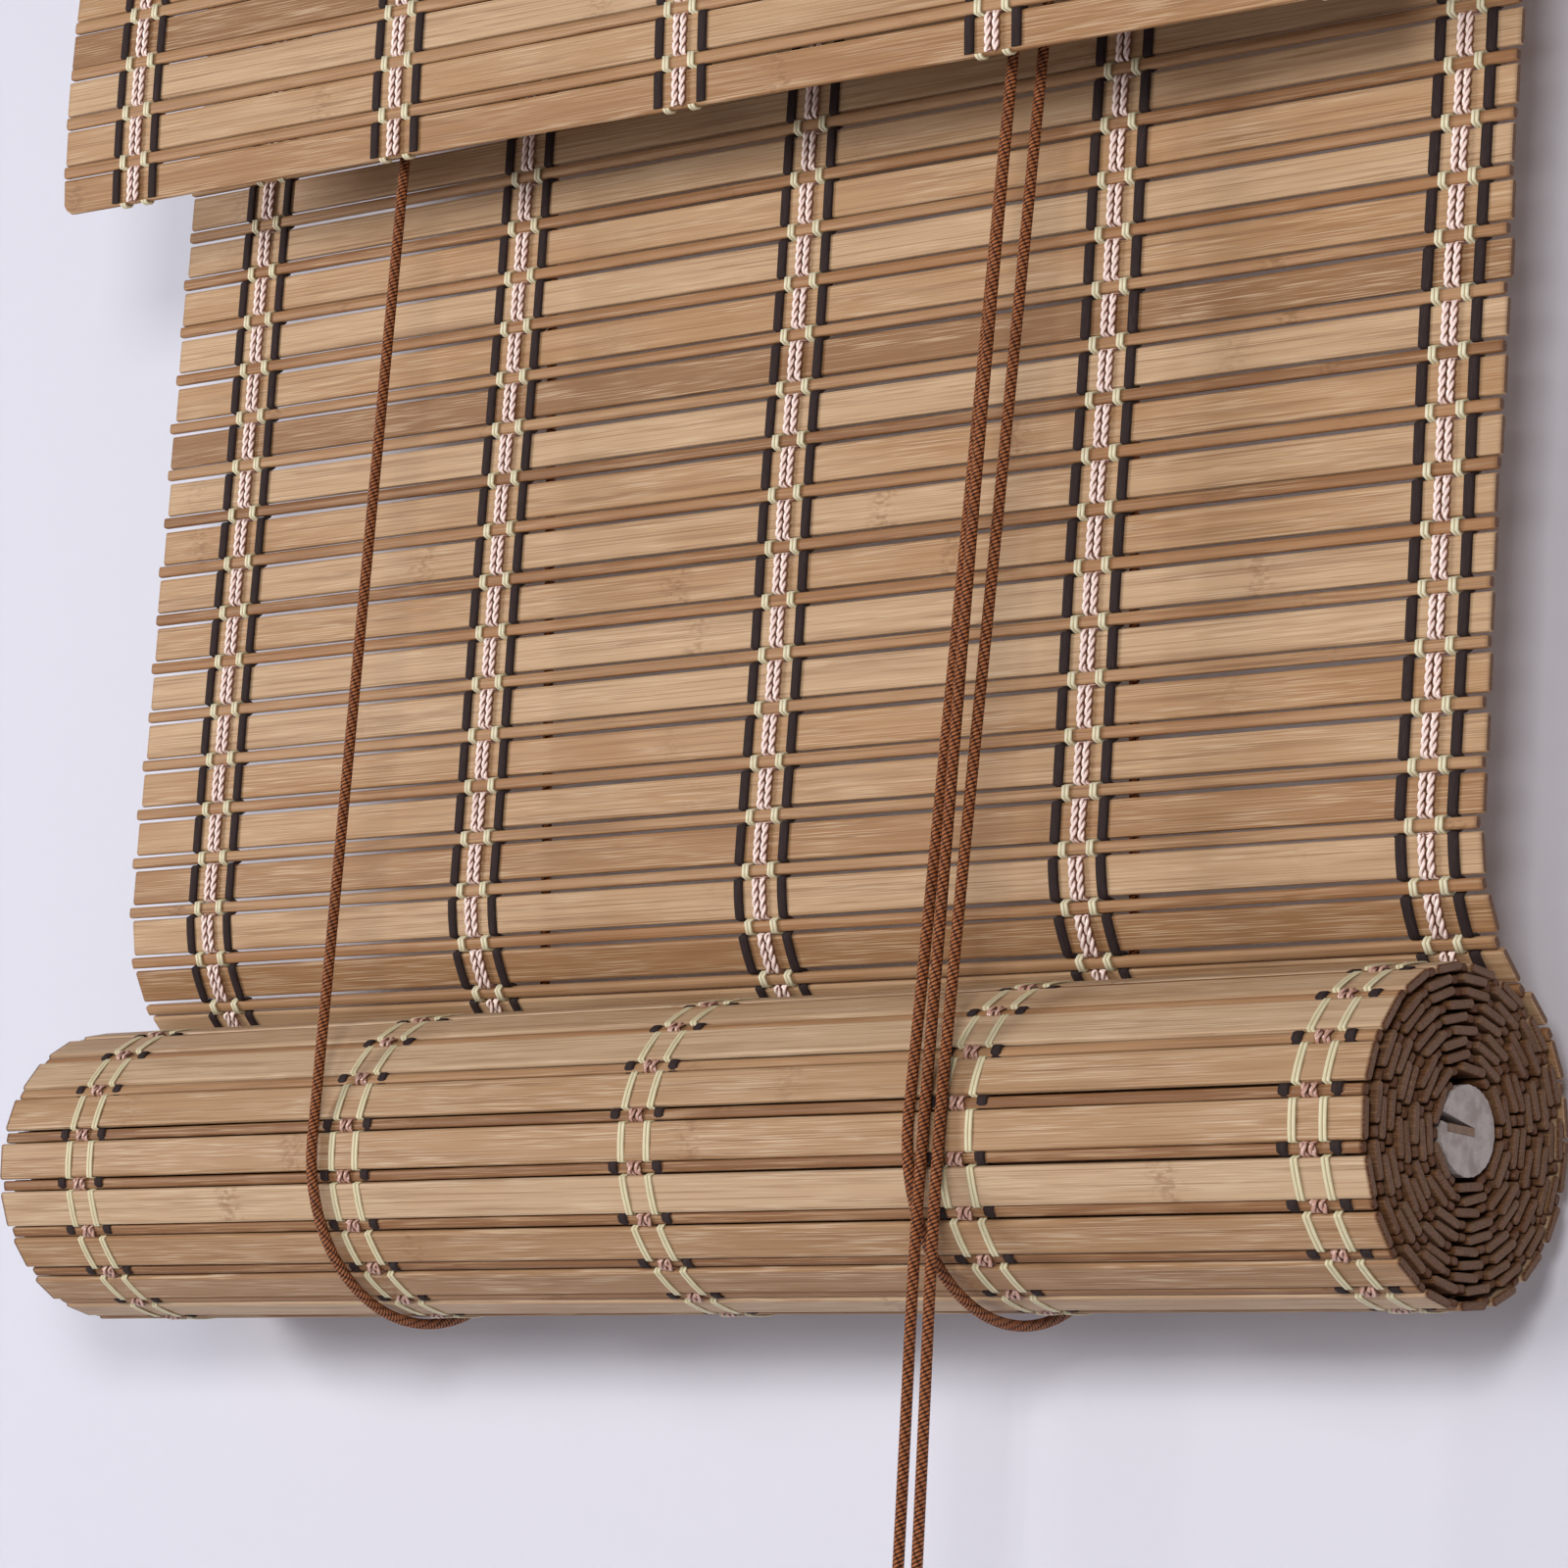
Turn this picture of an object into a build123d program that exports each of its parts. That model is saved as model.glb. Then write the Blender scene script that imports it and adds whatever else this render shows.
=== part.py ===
from build123d import *
import os
from math import acos, atan2, cos, degrees, hypot, pi, radians, sin, tan

# A roll-up window blind of split bamboo slats and narrow sticks laced by five bands of thread.
# Frame: X along the width, -Y towards the room, +Z up. The origin is the middle of the head
# rail's top face, halfway between its two screw holes. All lengths are millimetres.

# Mat: slats and sticks take turns down the blind
mat_width = 491.0
row_pitch = 15.0
slat_width = 10.2
slat_thickness = 2.0
stick_width = 3.2
stick_thickness = 2.4
stick_rise = 0.6
web_thickness = 0.7
hanging_rows = 29
valance_rows = 10

# Thread bands
band_count = 5
band_pitch = 110.0
band_shift = 9.4
cream_spacing = 9.2
cream_width = 2.4
dark_spacing = 15.8
dark_width = 3.0
pink_width = 5.2
thread_thickness = 0.4
thread_seat = 0.25
band_margin = 4.0

# Roll of mat on its core
roll_radius = 43.5
turn_count = 9.5
rolled_row_pitch = 14.0
rolled_slat_width = 10.2
rolled_slat_thickness = 1.6
rolled_stick_width = 2.9
rolled_stick_thickness = 2.2
rolled_web_thickness = 0.6
core_radius = 11.4
kerf_width = 2.4
core_slat_thickness = 2.0
core_slat_inset = 0.8
core_seat = 0.35
wrap_clearance = 1.0

# Bend by which the hanging mat reaches the back of the roll
bend_height = 78.0

# Head rail and the batten that holds the mat
rail_length = 480.0
rail_depth = 69.2
rail_height = 21.5
rail_edge = 1.5
mount_spacing = 400.0
mount_hole_radius = 2.5
batten_depth = 12.0
batten_height = 24.0
batten_edge = 1.0
valance_gap = 52.5
seat_gap = 0.3

# Valance: hangs a little aslope along the rail, leans out and curls back at its lower edge
valance_width = 487.0
valance_shift = 1.0
valance_drop = 3.2
valance_slope_ratio = 0.0115
valance_lean = radians(4.0)
valance_curl = radians(9.0)
valance_lean_share = 0.45

# Cords
cord_diameter = 3.0
cord_clearance = 0.3
left_loop_offset = -10.2
right_loop_offset = -13.0
front_groove_reach = 39.1
rear_groove_reach = 25.1
anchor_reach = 9.0
cross_run_drop = 4.5
cord_joint_gap = 0.1

# Left pulley
pulley_run_radius = 6.5
pulley_flange_rise = 2.0
flange_thickness = 1.2
groove_clearance = 0.25
pin_radius = 2.0
running_fit = 0.05
pin_head_radius = 3.0
pin_head_height = 1.0
side_clearance = 0.4
sheet_thickness = 1.2
pulley_cheek_length = 15.0
pulley_cheek_drop = 7.0
pulley_plate_length = 46.0

# Cord lock: a two-groove guide roller and a jam roller that wedges the pull cords
guide_run_radius = 5.5
lock_cheek_left = 10.0
lock_cheek_right = 24.0
lock_cheek_drop = 17.0
lock_plate_overhang = 13.0
jam_radius = 4.0
jam_drop = 6.0
jam_trunnion_radius = 1.5
jam_trunnion_overhang = 1.5
jam_travel = 5.0
jam_tilt = radians(30.0)
jam_ring_count = 3
jam_ring_depth = 0.4
jam_ring_width = 1.4

# Fasteners
screw_radius = 1.6
screw_head_radius = 3.0
screw_head_height = 1.8
screw_length = 11.0
screw_edge_distance = 6.0
batten_screw_length = 34.0
batten_screw_count = 3
batten_screw_span = 380.0
nail_radius = 0.8
nail_head_radius = 2.0
nail_head_height = 0.6
nail_length = 10.0
nail_count = 6
nail_span = 440.0
nail_fit = 0.1
eye_wire_radius = 1.1
eye_ring_radius = 4.0
eye_neck = 1.5
eye_shank_length = 12.0
knot_radius = 2.9
knot_length = 6.0
knot_edge = 1.2

# Wooden pull on the two pull cords
pull_length = 38.0
pull_top_radius = 6.5
pull_belly_radius = 11.0
pull_foot_radius = 9.0
pull_belly_share = 0.62
pull_cord_spacing = 6.2
pull_hole_fit = 0.3
pull_recess_radius = 6.6
pull_recess_depth = 13.0
pull_drop = 560.0
pull_set_back = 1.6

cut_overrun = 2.0

# Places worked out from the sizes above
cord_radius = cord_diameter / 2
stick_front = stick_thickness / 2 + stick_rise
stick_back = stick_thickness / 2 - stick_rise
slat_reach = slat_thickness / 2
mat_back = max(slat_reach, stick_back)
rolled_stick_reach = rolled_stick_thickness / 2
valance_y = -(rail_depth / 2 + mat_back)
mat_y = valance_y + valance_gap
mat_top = -(rail_height + seat_gap)
outer_turn = roll_radius - rolled_stick_reach
inner_turn = core_radius + core_seat + rolled_stick_reach
turn_pitch = (outer_turn - inner_turn) / turn_count
bend_reach = outer_turn + wrap_clearance
bend_angle = 2 * atan2(bend_reach, bend_height)
bend_radius = bend_height / (2 * sin(bend_angle))
flat_length = hanging_rows * row_pitch - 2 * bend_radius * bend_angle
roll_y = mat_y
roll_z = mat_top - flat_length - bend_height
sling_radius = bend_reach + mat_back + cord_clearance + cord_radius


def band_centre(index):
    """X of a thread band's middle, counted from 0 at the left."""
    return (index - (band_count - 1) / 2) * band_pitch + band_shift


left_loop_x = band_centre(1) + left_loop_offset
right_loop_x = band_centre(3) + right_loop_offset
front_groove_y = mat_y - front_groove_reach
rear_groove_y = mat_y - rear_groove_reach
groove_y = (front_groove_y + rear_groove_y) / 2
anchor_y = mat_y + anchor_reach
cross_z = -(rail_height + cross_run_drop)
pulley_x = left_loop_x + pulley_run_radius
pulley_z = cross_z - pulley_run_radius
guide_x = right_loop_x + guide_run_radius
guide_z = cross_z - guide_run_radius
pull_side_x = guide_x + guide_run_radius
wheel_width = cord_diameter + 2 * (groove_clearance + flange_thickness)
guide_width = abs(rear_groove_y - front_groove_y) + wheel_width
jam_x = pull_side_x + cord_radius + cord_clearance + jam_radius
jam_z = guide_z - jam_drop
pull_y = roll_y - sling_radius + pull_set_back
pull_x = pull_side_x - pull_cord_spacing / 2 + cord_clearance


def walk(start_y, start_z, stretches):
    """Lays a path of straight and evenly bent stretches, heading down from its start.

    Each stretch is a length and the angle it turns towards +Y. The result gives the
    point (y, z) at a distance along the path and an offset towards the room.
    """
    def place(distance, offset):
        y, z, heading, left = start_y, start_z, 0.0, distance
        for number, (length, turn) in enumerate(stretches):
            last = number == len(stretches) - 1
            step = left if last else min(left, length)
            if turn:
                radius = length / turn
                ahead = heading + step / radius
                y += radius * (cos(heading) - cos(ahead))
                z -= radius * (sin(ahead) - sin(heading))
                heading = ahead
            else:
                y += step * sin(heading)
                z -= step * cos(heading)
            left -= step
            if left <= 0:
                break
        return y - offset * cos(heading), z - offset * sin(heading)
    return place


def bars_of_rows(rows, closing_slat):
    """Middle, half length, front and back reach and flat share of each slat and stick."""
    row_gap = (row_pitch - slat_width - stick_width) / 2
    slat_flat_share = 0.94
    stick_flat_share = 0.75
    bars = []
    for row in range(rows):
        top = row * row_pitch
        bars.append((top + slat_width / 2, slat_width / 2, slat_reach, slat_reach, slat_flat_share))
        stick_middle = top + slat_width + row_gap + stick_width / 2
        bars.append((stick_middle, stick_width / 2, stick_front, stick_back, stick_flat_share))
    if closing_slat:
        top = rows * row_pitch
        bars.append((top + slat_width / 2, slat_width / 2, slat_reach, slat_reach, slat_flat_share))
    return bars


def outline(place, bars, web):
    """Closed outline of bars joined by thin webs, in the YZ plane."""
    front, back = [], []
    for middle, half, front_reach, back_reach, flat_share in bars:
        for line, reach, way in ((front, front_reach, 1), (back, back_reach, -1)):
            corners = ((-half, web / 2), (-half * flat_share, reach), (half * flat_share, reach), (half, web / 2))
            line.extend(place(middle + along, way * offset) for along, offset in corners)
    return front + back[::-1]


def slab(points, width, middle_x, slope_ratio=0.0):
    """Solid of a YZ outline, width long in X about its middle, dropping by a slope towards +X."""
    face = make_face(Polyline(*points, close=True))
    reach = width / 2 * hypot(1, slope_ratio)
    solid = extrude(Plane.YZ * face, amount=reach, both=True, dir=(1, 0, -slope_ratio))
    return Pos(middle_x, 0, -slope_ratio * middle_x) * solid


def mat_gaps(place, bars, slope_ratio=0.0):
    """The open gaps under each stick, between neighbouring bands."""
    gaps = []
    span = band_pitch - dark_spacing - 2 * band_margin
    reach = stick_width
    for upper, lower in zip(bars[1::2], bars[2::2]):
        start = upper[0] + upper[1]
        end = lower[0] - lower[1]
        corners = [place(start, reach), place(end, reach), place(end, -reach), place(start, -reach)]
        for index in range(band_count - 1):
            gaps.append(slab(corners, span, band_centre(index) + band_pitch / 2, slope_ratio))
    return gaps


def ribbon(place, bars, width, middle_x, slope_ratio):
    """A thread laid on the mat's front, from the crest of one stick to the next."""
    crests = [middle for middle, half, front_reach, back_reach, flat_share in bars if front_reach == stick_front]
    seat = stick_front + thread_seat
    inner = [place(middle, seat) for middle in crests]
    outer = [place(middle, seat + thread_thickness) for middle in crests]
    return slab(inner + outer[::-1], width, middle_x, slope_ratio)


def thread_bands(place, bars, slope_ratio):
    """Dark, cream and pink threads of every band, each a list of separate solids."""
    dark, cream, pink = [], [], []
    for index in range(band_count):
        x = band_centre(index)
        for side in (-1, 1):
            dark.append(ribbon(place, bars, dark_width, x + side * dark_spacing / 2, slope_ratio))
            cream.append(ribbon(place, bars, cream_width, x + side * cream_spacing / 2, slope_ratio))
        pink.append(ribbon(place, bars, pink_width, x, slope_ratio))
    return dark, cream, pink


def turn_radius(angle):
    """Radius of the mat's middle at an angle wound in from the back of the roll.

    The first turn stays round and then dips under the mat that arrives from above.
    """
    dip_start = 1.0 * pi
    dip_end = 1.65 * pi
    if angle < 2 * pi:
        share = min(max((angle - dip_start) / (dip_end - dip_start), 0.0), 1.0)
        return outer_turn - turn_pitch * share * share * (3 - 2 * share)
    return outer_turn - turn_pitch * angle / (2 * pi)


def rolled_place(angle, offset):
    """Point (y, z) of the roll at a wound angle and an offset outwards."""
    radius = turn_radius(angle) + offset
    return roll_y + radius * cos(angle), roll_z - radius * sin(angle)


def rolled_bars():
    """Slats and sticks of the roll, with middles and half lengths as wound angles."""
    gap = (rolled_row_pitch - rolled_slat_width - rolled_stick_width) / 2
    slat_reach_rolled = rolled_slat_thickness / 2
    slat_flat_share = 0.94
    stick_flat_share = 0.75
    bars, angle, end = [], 0.0, 2 * pi * turn_count
    while angle + rolled_row_pitch / turn_radius(angle) < end:
        radius = turn_radius(angle)
        half = rolled_slat_width / 2 / radius
        bars.append((angle + half, half, slat_reach_rolled, slat_reach_rolled, slat_flat_share))
        half = rolled_stick_width / 2 / radius
        stick = angle + (rolled_slat_width + gap) / radius + half
        bars.append((stick, half, rolled_stick_reach, rolled_stick_reach, stick_flat_share))
        angle += rolled_row_pitch / radius
    return bars


def rod(start, end, radius):
    """Straight round bar between two points."""
    path = Line(start, end)
    return sweep(Plane(origin=path @ 0, z_dir=path % 0) * Circle(radius), path=path)


def cord(path):
    """Cord along a path."""
    return sweep(Plane(origin=path @ 0, z_dir=path % 0) * Circle(cord_radius), path=path)


def along_y(shape):
    """Turns a shape that stands along Z so that it lies along Y."""
    return Rot(90, 0, 0) * shape


def screw(x, y, z, length, up):
    """Pan-head screw with its head's seat at (x, y, z), driven up or down."""
    way = 1 if up else -1
    shank = Pos(x, y, z + way * length / 2) * Cylinder(screw_radius, length)
    head = Pos(x, y, z - way * screw_head_height / 2) * Cylinder(screw_head_radius, screw_head_height)
    return shank + head


def nail(x, y, z, way):
    """Nail with its head's seat at (x, y, z), driven along Y in the given way."""
    shank = Pos(x, y + way * nail_length / 2, z) * along_y(Cylinder(nail_radius, nail_length))
    head = Pos(x, y - way * nail_head_height / 2, z) * along_y(Cylinder(nail_head_radius, nail_head_height))
    return shank + head


def nail_hole(x, y, z, way):
    """Clearance for a nail's shank."""
    length = nail_length + nail_fit
    return Pos(x, y + way * length / 2, z) * along_y(Cylinder(nail_radius + nail_fit, length))


def spread(count, span):
    """Evenly spaced places about zero."""
    return [span * (number / (count - 1) - 0.5) for number in range(count)]


def grooved_wheel(run_radius, width, groove_places):
    """Wheel along Z with open round grooves that cords run in, bored for its pin."""
    flange_radius = run_radius + pulley_flange_rise
    groove_radius = cord_radius + groove_clearance
    wheel = Cylinder(flange_radius, width)
    for place in groove_places:
        ring = Cylinder(flange_radius + cut_overrun, 2 * groove_radius)
        ring -= Cylinder(run_radius, 2 * groove_radius + cut_overrun)
        wheel -= Pos(0, 0, place) * (ring + Torus(run_radius, groove_radius))
    return wheel - Cylinder(pin_radius + running_fit, width + cut_overrun)


def headed_pin(grip):
    """Pin along Z with a head at each end, outside a grip length."""
    pin = Cylinder(pin_radius, grip)
    for side in (-1, 1):
        place = side * (grip + pin_head_height) / 2
        pin += Pos(0, 0, place) * Cylinder(pin_head_radius, pin_head_height)
    return pin


def folded_hanger(middle_y, inner_width, left_x, right_x, drop_z, plate_left, plate_right):
    """Inverted U of sheet metal: a top plate under the rail and two cheeks along X."""
    length = right_x - left_x
    top = -rail_height
    outer_width = inner_width + 2 * sheet_thickness
    hanger = Box(plate_right - plate_left, outer_width, sheet_thickness)
    hanger = Pos((plate_left + plate_right) / 2, middle_y, top - sheet_thickness / 2) * hanger
    for side in (-1, 1):
        y = middle_y + side * (inner_width + sheet_thickness) / 2
        cheek = Box(length, sheet_thickness, top - drop_z)
        hanger += Pos((left_x + right_x) / 2, y, (top + drop_z) / 2) * cheek
    return hanger


def tangent_point(y, z, side):
    """Where a straight cord from (y, z) meets the sling's circle, side 1 at the front."""
    reach = hypot(y - roll_y, z - roll_z)
    angle = atan2(z - roll_z, y - roll_y) + side * acos(sling_radius / reach)
    return roll_y + sling_radius * cos(angle), roll_z + sling_radius * sin(angle)


nodes = {}

# Hanging mat and valance
hanging_place = walk(mat_y, mat_top, [
    (flat_length, 0), (bend_radius * bend_angle, bend_angle), (bend_radius * bend_angle, -bend_angle)])
hanging_bars = bars_of_rows(hanging_rows, False)
valance_length = valance_rows * row_pitch + slat_width
valance_free = valance_length - rail_height + valance_drop
valance_place = walk(valance_y, -valance_drop, [
    (rail_height - valance_drop, 0), (valance_free * valance_lean_share, -valance_lean),
    (valance_free * (1 - valance_lean_share), valance_curl)])
valance_bars = bars_of_rows(valance_rows, True)

mat_nail_z = mat_top - slat_width / 2
valance_nail_z = -valance_drop - slat_width / 2
mat_nail_y = mat_y + slat_reach
valance_nail_y = valance_y - slat_reach
nail_places = spread(nail_count, nail_span)

hanging_mat = slab(outline(hanging_place, hanging_bars, web_thickness), mat_width, 0)
hanging_mat -= mat_gaps(hanging_place, hanging_bars)
hanging_mat -= [nail_hole(x, mat_nail_y, mat_nail_z, -1) for x in nail_places]
valance_outline = outline(valance_place, valance_bars, web_thickness)
valance_mat = slab(valance_outline, valance_width, valance_shift, valance_slope_ratio)
valance_mat -= mat_gaps(valance_place, valance_bars, valance_slope_ratio)
valance_mat -= [nail_hole(x, valance_nail_y, valance_nail_z, 1) for x in nail_places]
nodes["hanging_mat"] = hanging_mat
nodes["valance_mat"] = valance_mat
nodes["mat_nails"] = Compound([nail(x, mat_nail_y, mat_nail_z, -1) for x in nail_places])
nodes["valance_nails"] = Compound([nail(x, valance_nail_y, valance_nail_z, 1) for x in nail_places])

for mat, place, bars, slope_ratio in (
        ("hanging", hanging_place, hanging_bars[3:], 0.0),
        ("valance", valance_place, valance_bars, valance_slope_ratio)):
    for colour, solids in zip(("dark", "cream", "pink"), thread_bands(place, bars, slope_ratio)):
        nodes[mat + "_threads_" + colour] = Compound(solids)

# Roll, its core and the slat end held in the core's kerf
nodes["rolled_mat"] = slab(outline(rolled_place, rolled_bars(), rolled_web_thickness), mat_width, 0)
core = Pos(0, roll_y, roll_z) * Rot(0, 90, 0) * Cylinder(core_radius, mat_width)
kerf = Box(mat_width + cut_overrun, core_radius + cut_overrun, kerf_width)
nodes["core_dowel"] = core - Pos(0, roll_y - (core_radius + cut_overrun) / 2, roll_z) * kerf
core_slat = Box(mat_width, core_radius - 2 * core_slat_inset, core_slat_thickness)
core_slat_z = roll_z - (kerf_width - core_slat_thickness) / 2
nodes["core_slat"] = Pos(0, roll_y - core_radius / 2, core_slat_z) * core_slat

# Left pulley
pulley_inner = wheel_width + 2 * side_clearance
pulley_grip = pulley_inner + 2 * sheet_thickness
pulley_spot = Pos(pulley_x, front_groove_y, pulley_z)
pulley_screw_places = [pulley_x + side * (pulley_plate_length / 2 - screw_edge_distance) for side in (-1, 1)]
bracket = folded_hanger(
    front_groove_y, pulley_inner, pulley_x - pulley_cheek_length / 2, pulley_x + pulley_cheek_length / 2,
    pulley_z - pulley_cheek_drop, pulley_x - pulley_plate_length / 2, pulley_x + pulley_plate_length / 2)
bracket -= pulley_spot * along_y(Cylinder(pin_radius, pulley_grip + cut_overrun))
nodes["pulley_wheel"] = pulley_spot * along_y(grooved_wheel(pulley_run_radius, wheel_width, [0]))
nodes["pulley_pin"] = pulley_spot * along_y(headed_pin(pulley_grip))

# Cord lock
lock_inner = guide_width + 2 * side_clearance
lock_grip = lock_inner + 2 * sheet_thickness
lock_left = guide_x - lock_cheek_left
lock_right = guide_x + lock_cheek_right
guide_spot = Pos(guide_x, groove_y, guide_z)
plate_ends = (lock_left - lock_plate_overhang, lock_right + lock_plate_overhang)
lock_screw_places = [plate_ends[0] + screw_edge_distance, plate_ends[1] - screw_edge_distance]
housing = folded_hanger(
    groove_y, lock_inner, lock_left, lock_right, guide_z - lock_cheek_drop, plate_ends[0], plate_ends[1])
housing -= guide_spot * along_y(Cylinder(pin_radius, lock_grip + cut_overrun))
slot_radius = jam_trunnion_radius + running_fit
slot_end_x = jam_x + jam_travel * sin(jam_tilt)
slot_end_z = jam_z - jam_travel * cos(jam_tilt)
slot_body = Rot(0, -degrees(jam_tilt), 0) * Box(2 * slot_radius, lock_grip + cut_overrun, jam_travel)
housing -= Pos((jam_x + slot_end_x) / 2, groove_y, (jam_z + slot_end_z) / 2) * slot_body
for slot_x, slot_z in ((jam_x, jam_z), (slot_end_x, slot_end_z)):
    housing -= Pos(slot_x, groove_y, slot_z) * along_y(Cylinder(slot_radius, lock_grip + cut_overrun))
groove_places = [side * abs(rear_groove_y - front_groove_y) / 2 for side in (-1, 1)]
nodes["lock_guide_roller"] = guide_spot * along_y(grooved_wheel(guide_run_radius, guide_width, groove_places))
nodes["lock_guide_pin"] = guide_spot * along_y(headed_pin(lock_grip))
jam = Cylinder(jam_radius, lock_inner - 2 * side_clearance)
jam_ring_span = (lock_inner - 2 * side_clearance) / (jam_ring_count + 1)
for number in range(jam_ring_count):
    ring = Cylinder(jam_radius + cut_overrun, jam_ring_width)
    ring -= Cylinder(jam_radius - jam_ring_depth, jam_ring_width)
    jam -= Pos(0, 0, (number - (jam_ring_count - 1) / 2) * jam_ring_span) * ring
jam += Cylinder(jam_trunnion_radius, lock_grip + 2 * jam_trunnion_overhang)
nodes["lock_jam_roller"] = Pos(jam_x, groove_y, jam_z) * along_y(jam)

# Head rail, batten, screws and screw eyes
seat_z = -(rail_height + sheet_thickness)
pulley_screws = [screw(x, front_groove_y, seat_z, screw_length, True) for x in pulley_screw_places]
lock_screws = [screw(x, groove_y, seat_z, screw_length, True) for x in lock_screw_places]
batten_y = mat_y - stick_front - batten_depth / 2
batten_screws = [
    screw(x, batten_y, -screw_head_height, batten_screw_length, False)
    for x in spread(batten_screw_count, batten_screw_span)]
eye_z = -(rail_height + eye_neck + eye_ring_radius + eye_wire_radius)
eyes, knots, anchors = [], [], []
for loop_x in (left_loop_x, right_loop_x):
    ring = Pos(loop_x, anchor_y, eye_z) * along_y(Torus(eye_ring_radius, eye_wire_radius))
    shank_length = eye_shank_length + eye_neck + eye_wire_radius
    shank_top = eye_shank_length - rail_height
    shank = Pos(loop_x, anchor_y, shank_top - shank_length / 2) * Cylinder(eye_wire_radius, shank_length)
    eyes.append(ring + shank)
    tie_z = eye_z - eye_ring_radius - eye_wire_radius - cord_clearance
    tail_y, tail_z = tangent_point(anchor_y, tie_z, -1)
    span = hypot(tail_y - anchor_y, tail_z - tie_z)
    lean_y, lean_z = (tail_y - anchor_y) / span, (tail_z - tie_z) / span
    foot = (loop_x, anchor_y + knot_length * lean_y, tie_z + knot_length * lean_z)
    barrel = rod((loop_x, anchor_y, tie_z), foot, knot_radius)
    knots.append(fillet(barrel.edges().filter_by(GeomType.CIRCLE), knot_edge))
    anchors.append((foot, (loop_x, tail_y, tail_z)))
rail = Pos(0, 0, -rail_height / 2) * Box(rail_length, rail_depth, rail_height)
rail = chamfer(rail.edges().filter_by(Axis.X), rail_edge)
for side in (-1, 1):
    rail -= Pos(side * mount_spacing / 2, 0, -rail_height / 2) * Cylinder(
        mount_hole_radius, rail_height + cut_overrun)
rail -= pulley_screws + lock_screws + batten_screws + eyes
rail -= [nail_hole(x, valance_nail_y, valance_nail_z, 1) for x in nail_places]
bracket -= pulley_screws
housing -= lock_screws
batten = Box(rail_length, batten_depth, batten_height)
batten = Pos(0, batten_y, -(rail_height + batten_height / 2)) * batten
batten = chamfer(batten.edges().filter_by(Axis.X), batten_edge)
batten -= batten_screws
batten -= [nail_hole(x, mat_nail_y, mat_nail_z, -1) for x in nail_places]
nodes["head_rail"] = rail
nodes["mat_batten"] = batten
nodes["batten_screws"] = Compound(batten_screws)
nodes["pulley_bracket"] = bracket
nodes["pulley_screws"] = Compound(pulley_screws)
nodes["lock_housing"] = housing
nodes["lock_screws"] = Compound(lock_screws)
nodes["screw_eyes"] = Compound(eyes)
nodes["anchor_knots"] = Compound(knots)

# Lift cords: down behind the mat, under the roll and up its front
heads = {
    "left": (left_loop_x, front_groove_y, pulley_z - cord_joint_gap),
    "right": (right_loop_x, rear_groove_y, guide_z - cord_joint_gap)}
for (side, head), (foot, tail) in zip(heads.items(), anchors):
    loop_x = head[0]
    nose_y, nose_z = tangent_point(head[1], head[2], 1)
    nose = (loop_x, nose_y, nose_z)
    nodes["rear_run_" + side] = rod(foot, tail, cord_radius)
    nodes["front_run_" + side] = rod(nose, head, cord_radius)
    nodes["sling_" + side] = cord(ThreePointArc(nose, (loop_x, roll_y, roll_z - sling_radius), tail))

# The left cord crosses to the lock, and both cords turn down over the guide roller
over_pulley = Pos(pulley_x, front_groove_y, pulley_z) * (
    Plane.XZ * CenterArc((0, 0), pulley_run_radius, 180, -90))
cross_line = Line((pulley_x, front_groove_y, cross_z), (guide_x, front_groove_y, cross_z))
over_guide = Pos(guide_x, front_groove_y, guide_z) * (Plane.XZ * CenterArc((0, 0), guide_run_radius, 90, -90))
nodes["cross_run_left"] = cord(Wire([over_pulley, cross_line, over_guide]))
turn = Pos(guide_x, rear_groove_y, guide_z) * (Plane.XZ * CenterArc((0, 0), guide_run_radius, 180, -180))
nodes["lock_turn_right"] = cord(turn)

# Pull cords lean over the front of the roll and hang into the wooden pull
pull_bottom = pull_drop + pull_length - pull_recess_depth
pull_routes = {
    "left": (front_groove_y, pull_x - pull_cord_spacing / 2),
    "right": (rear_groove_y, pull_x + pull_cord_spacing / 2)}
for side, (exit_y, end_x) in pull_routes.items():
    route = [
        (pull_side_x, exit_y, guide_z - cord_joint_gap), (end_x, roll_y - sling_radius, roll_z),
        (end_x, pull_y, cord_joint_gap - pull_bottom)]
    upper = Vector(*route[1]) - Vector(*route[0])
    lower = Vector(*route[2]) - Vector(*route[1])
    half_turn = radians(upper.get_angle(lower)) / 2
    run_share = 0.3
    bend = run_share * min(upper.length, lower.length) / tan(half_turn)
    print("pull cord", side, "bend radius", round(bend), "length", round(upper.length + lower.length))
    nodes["pull_cord_" + side] = cord(FilletPolyline(*route, radius=[bend]))

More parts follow.
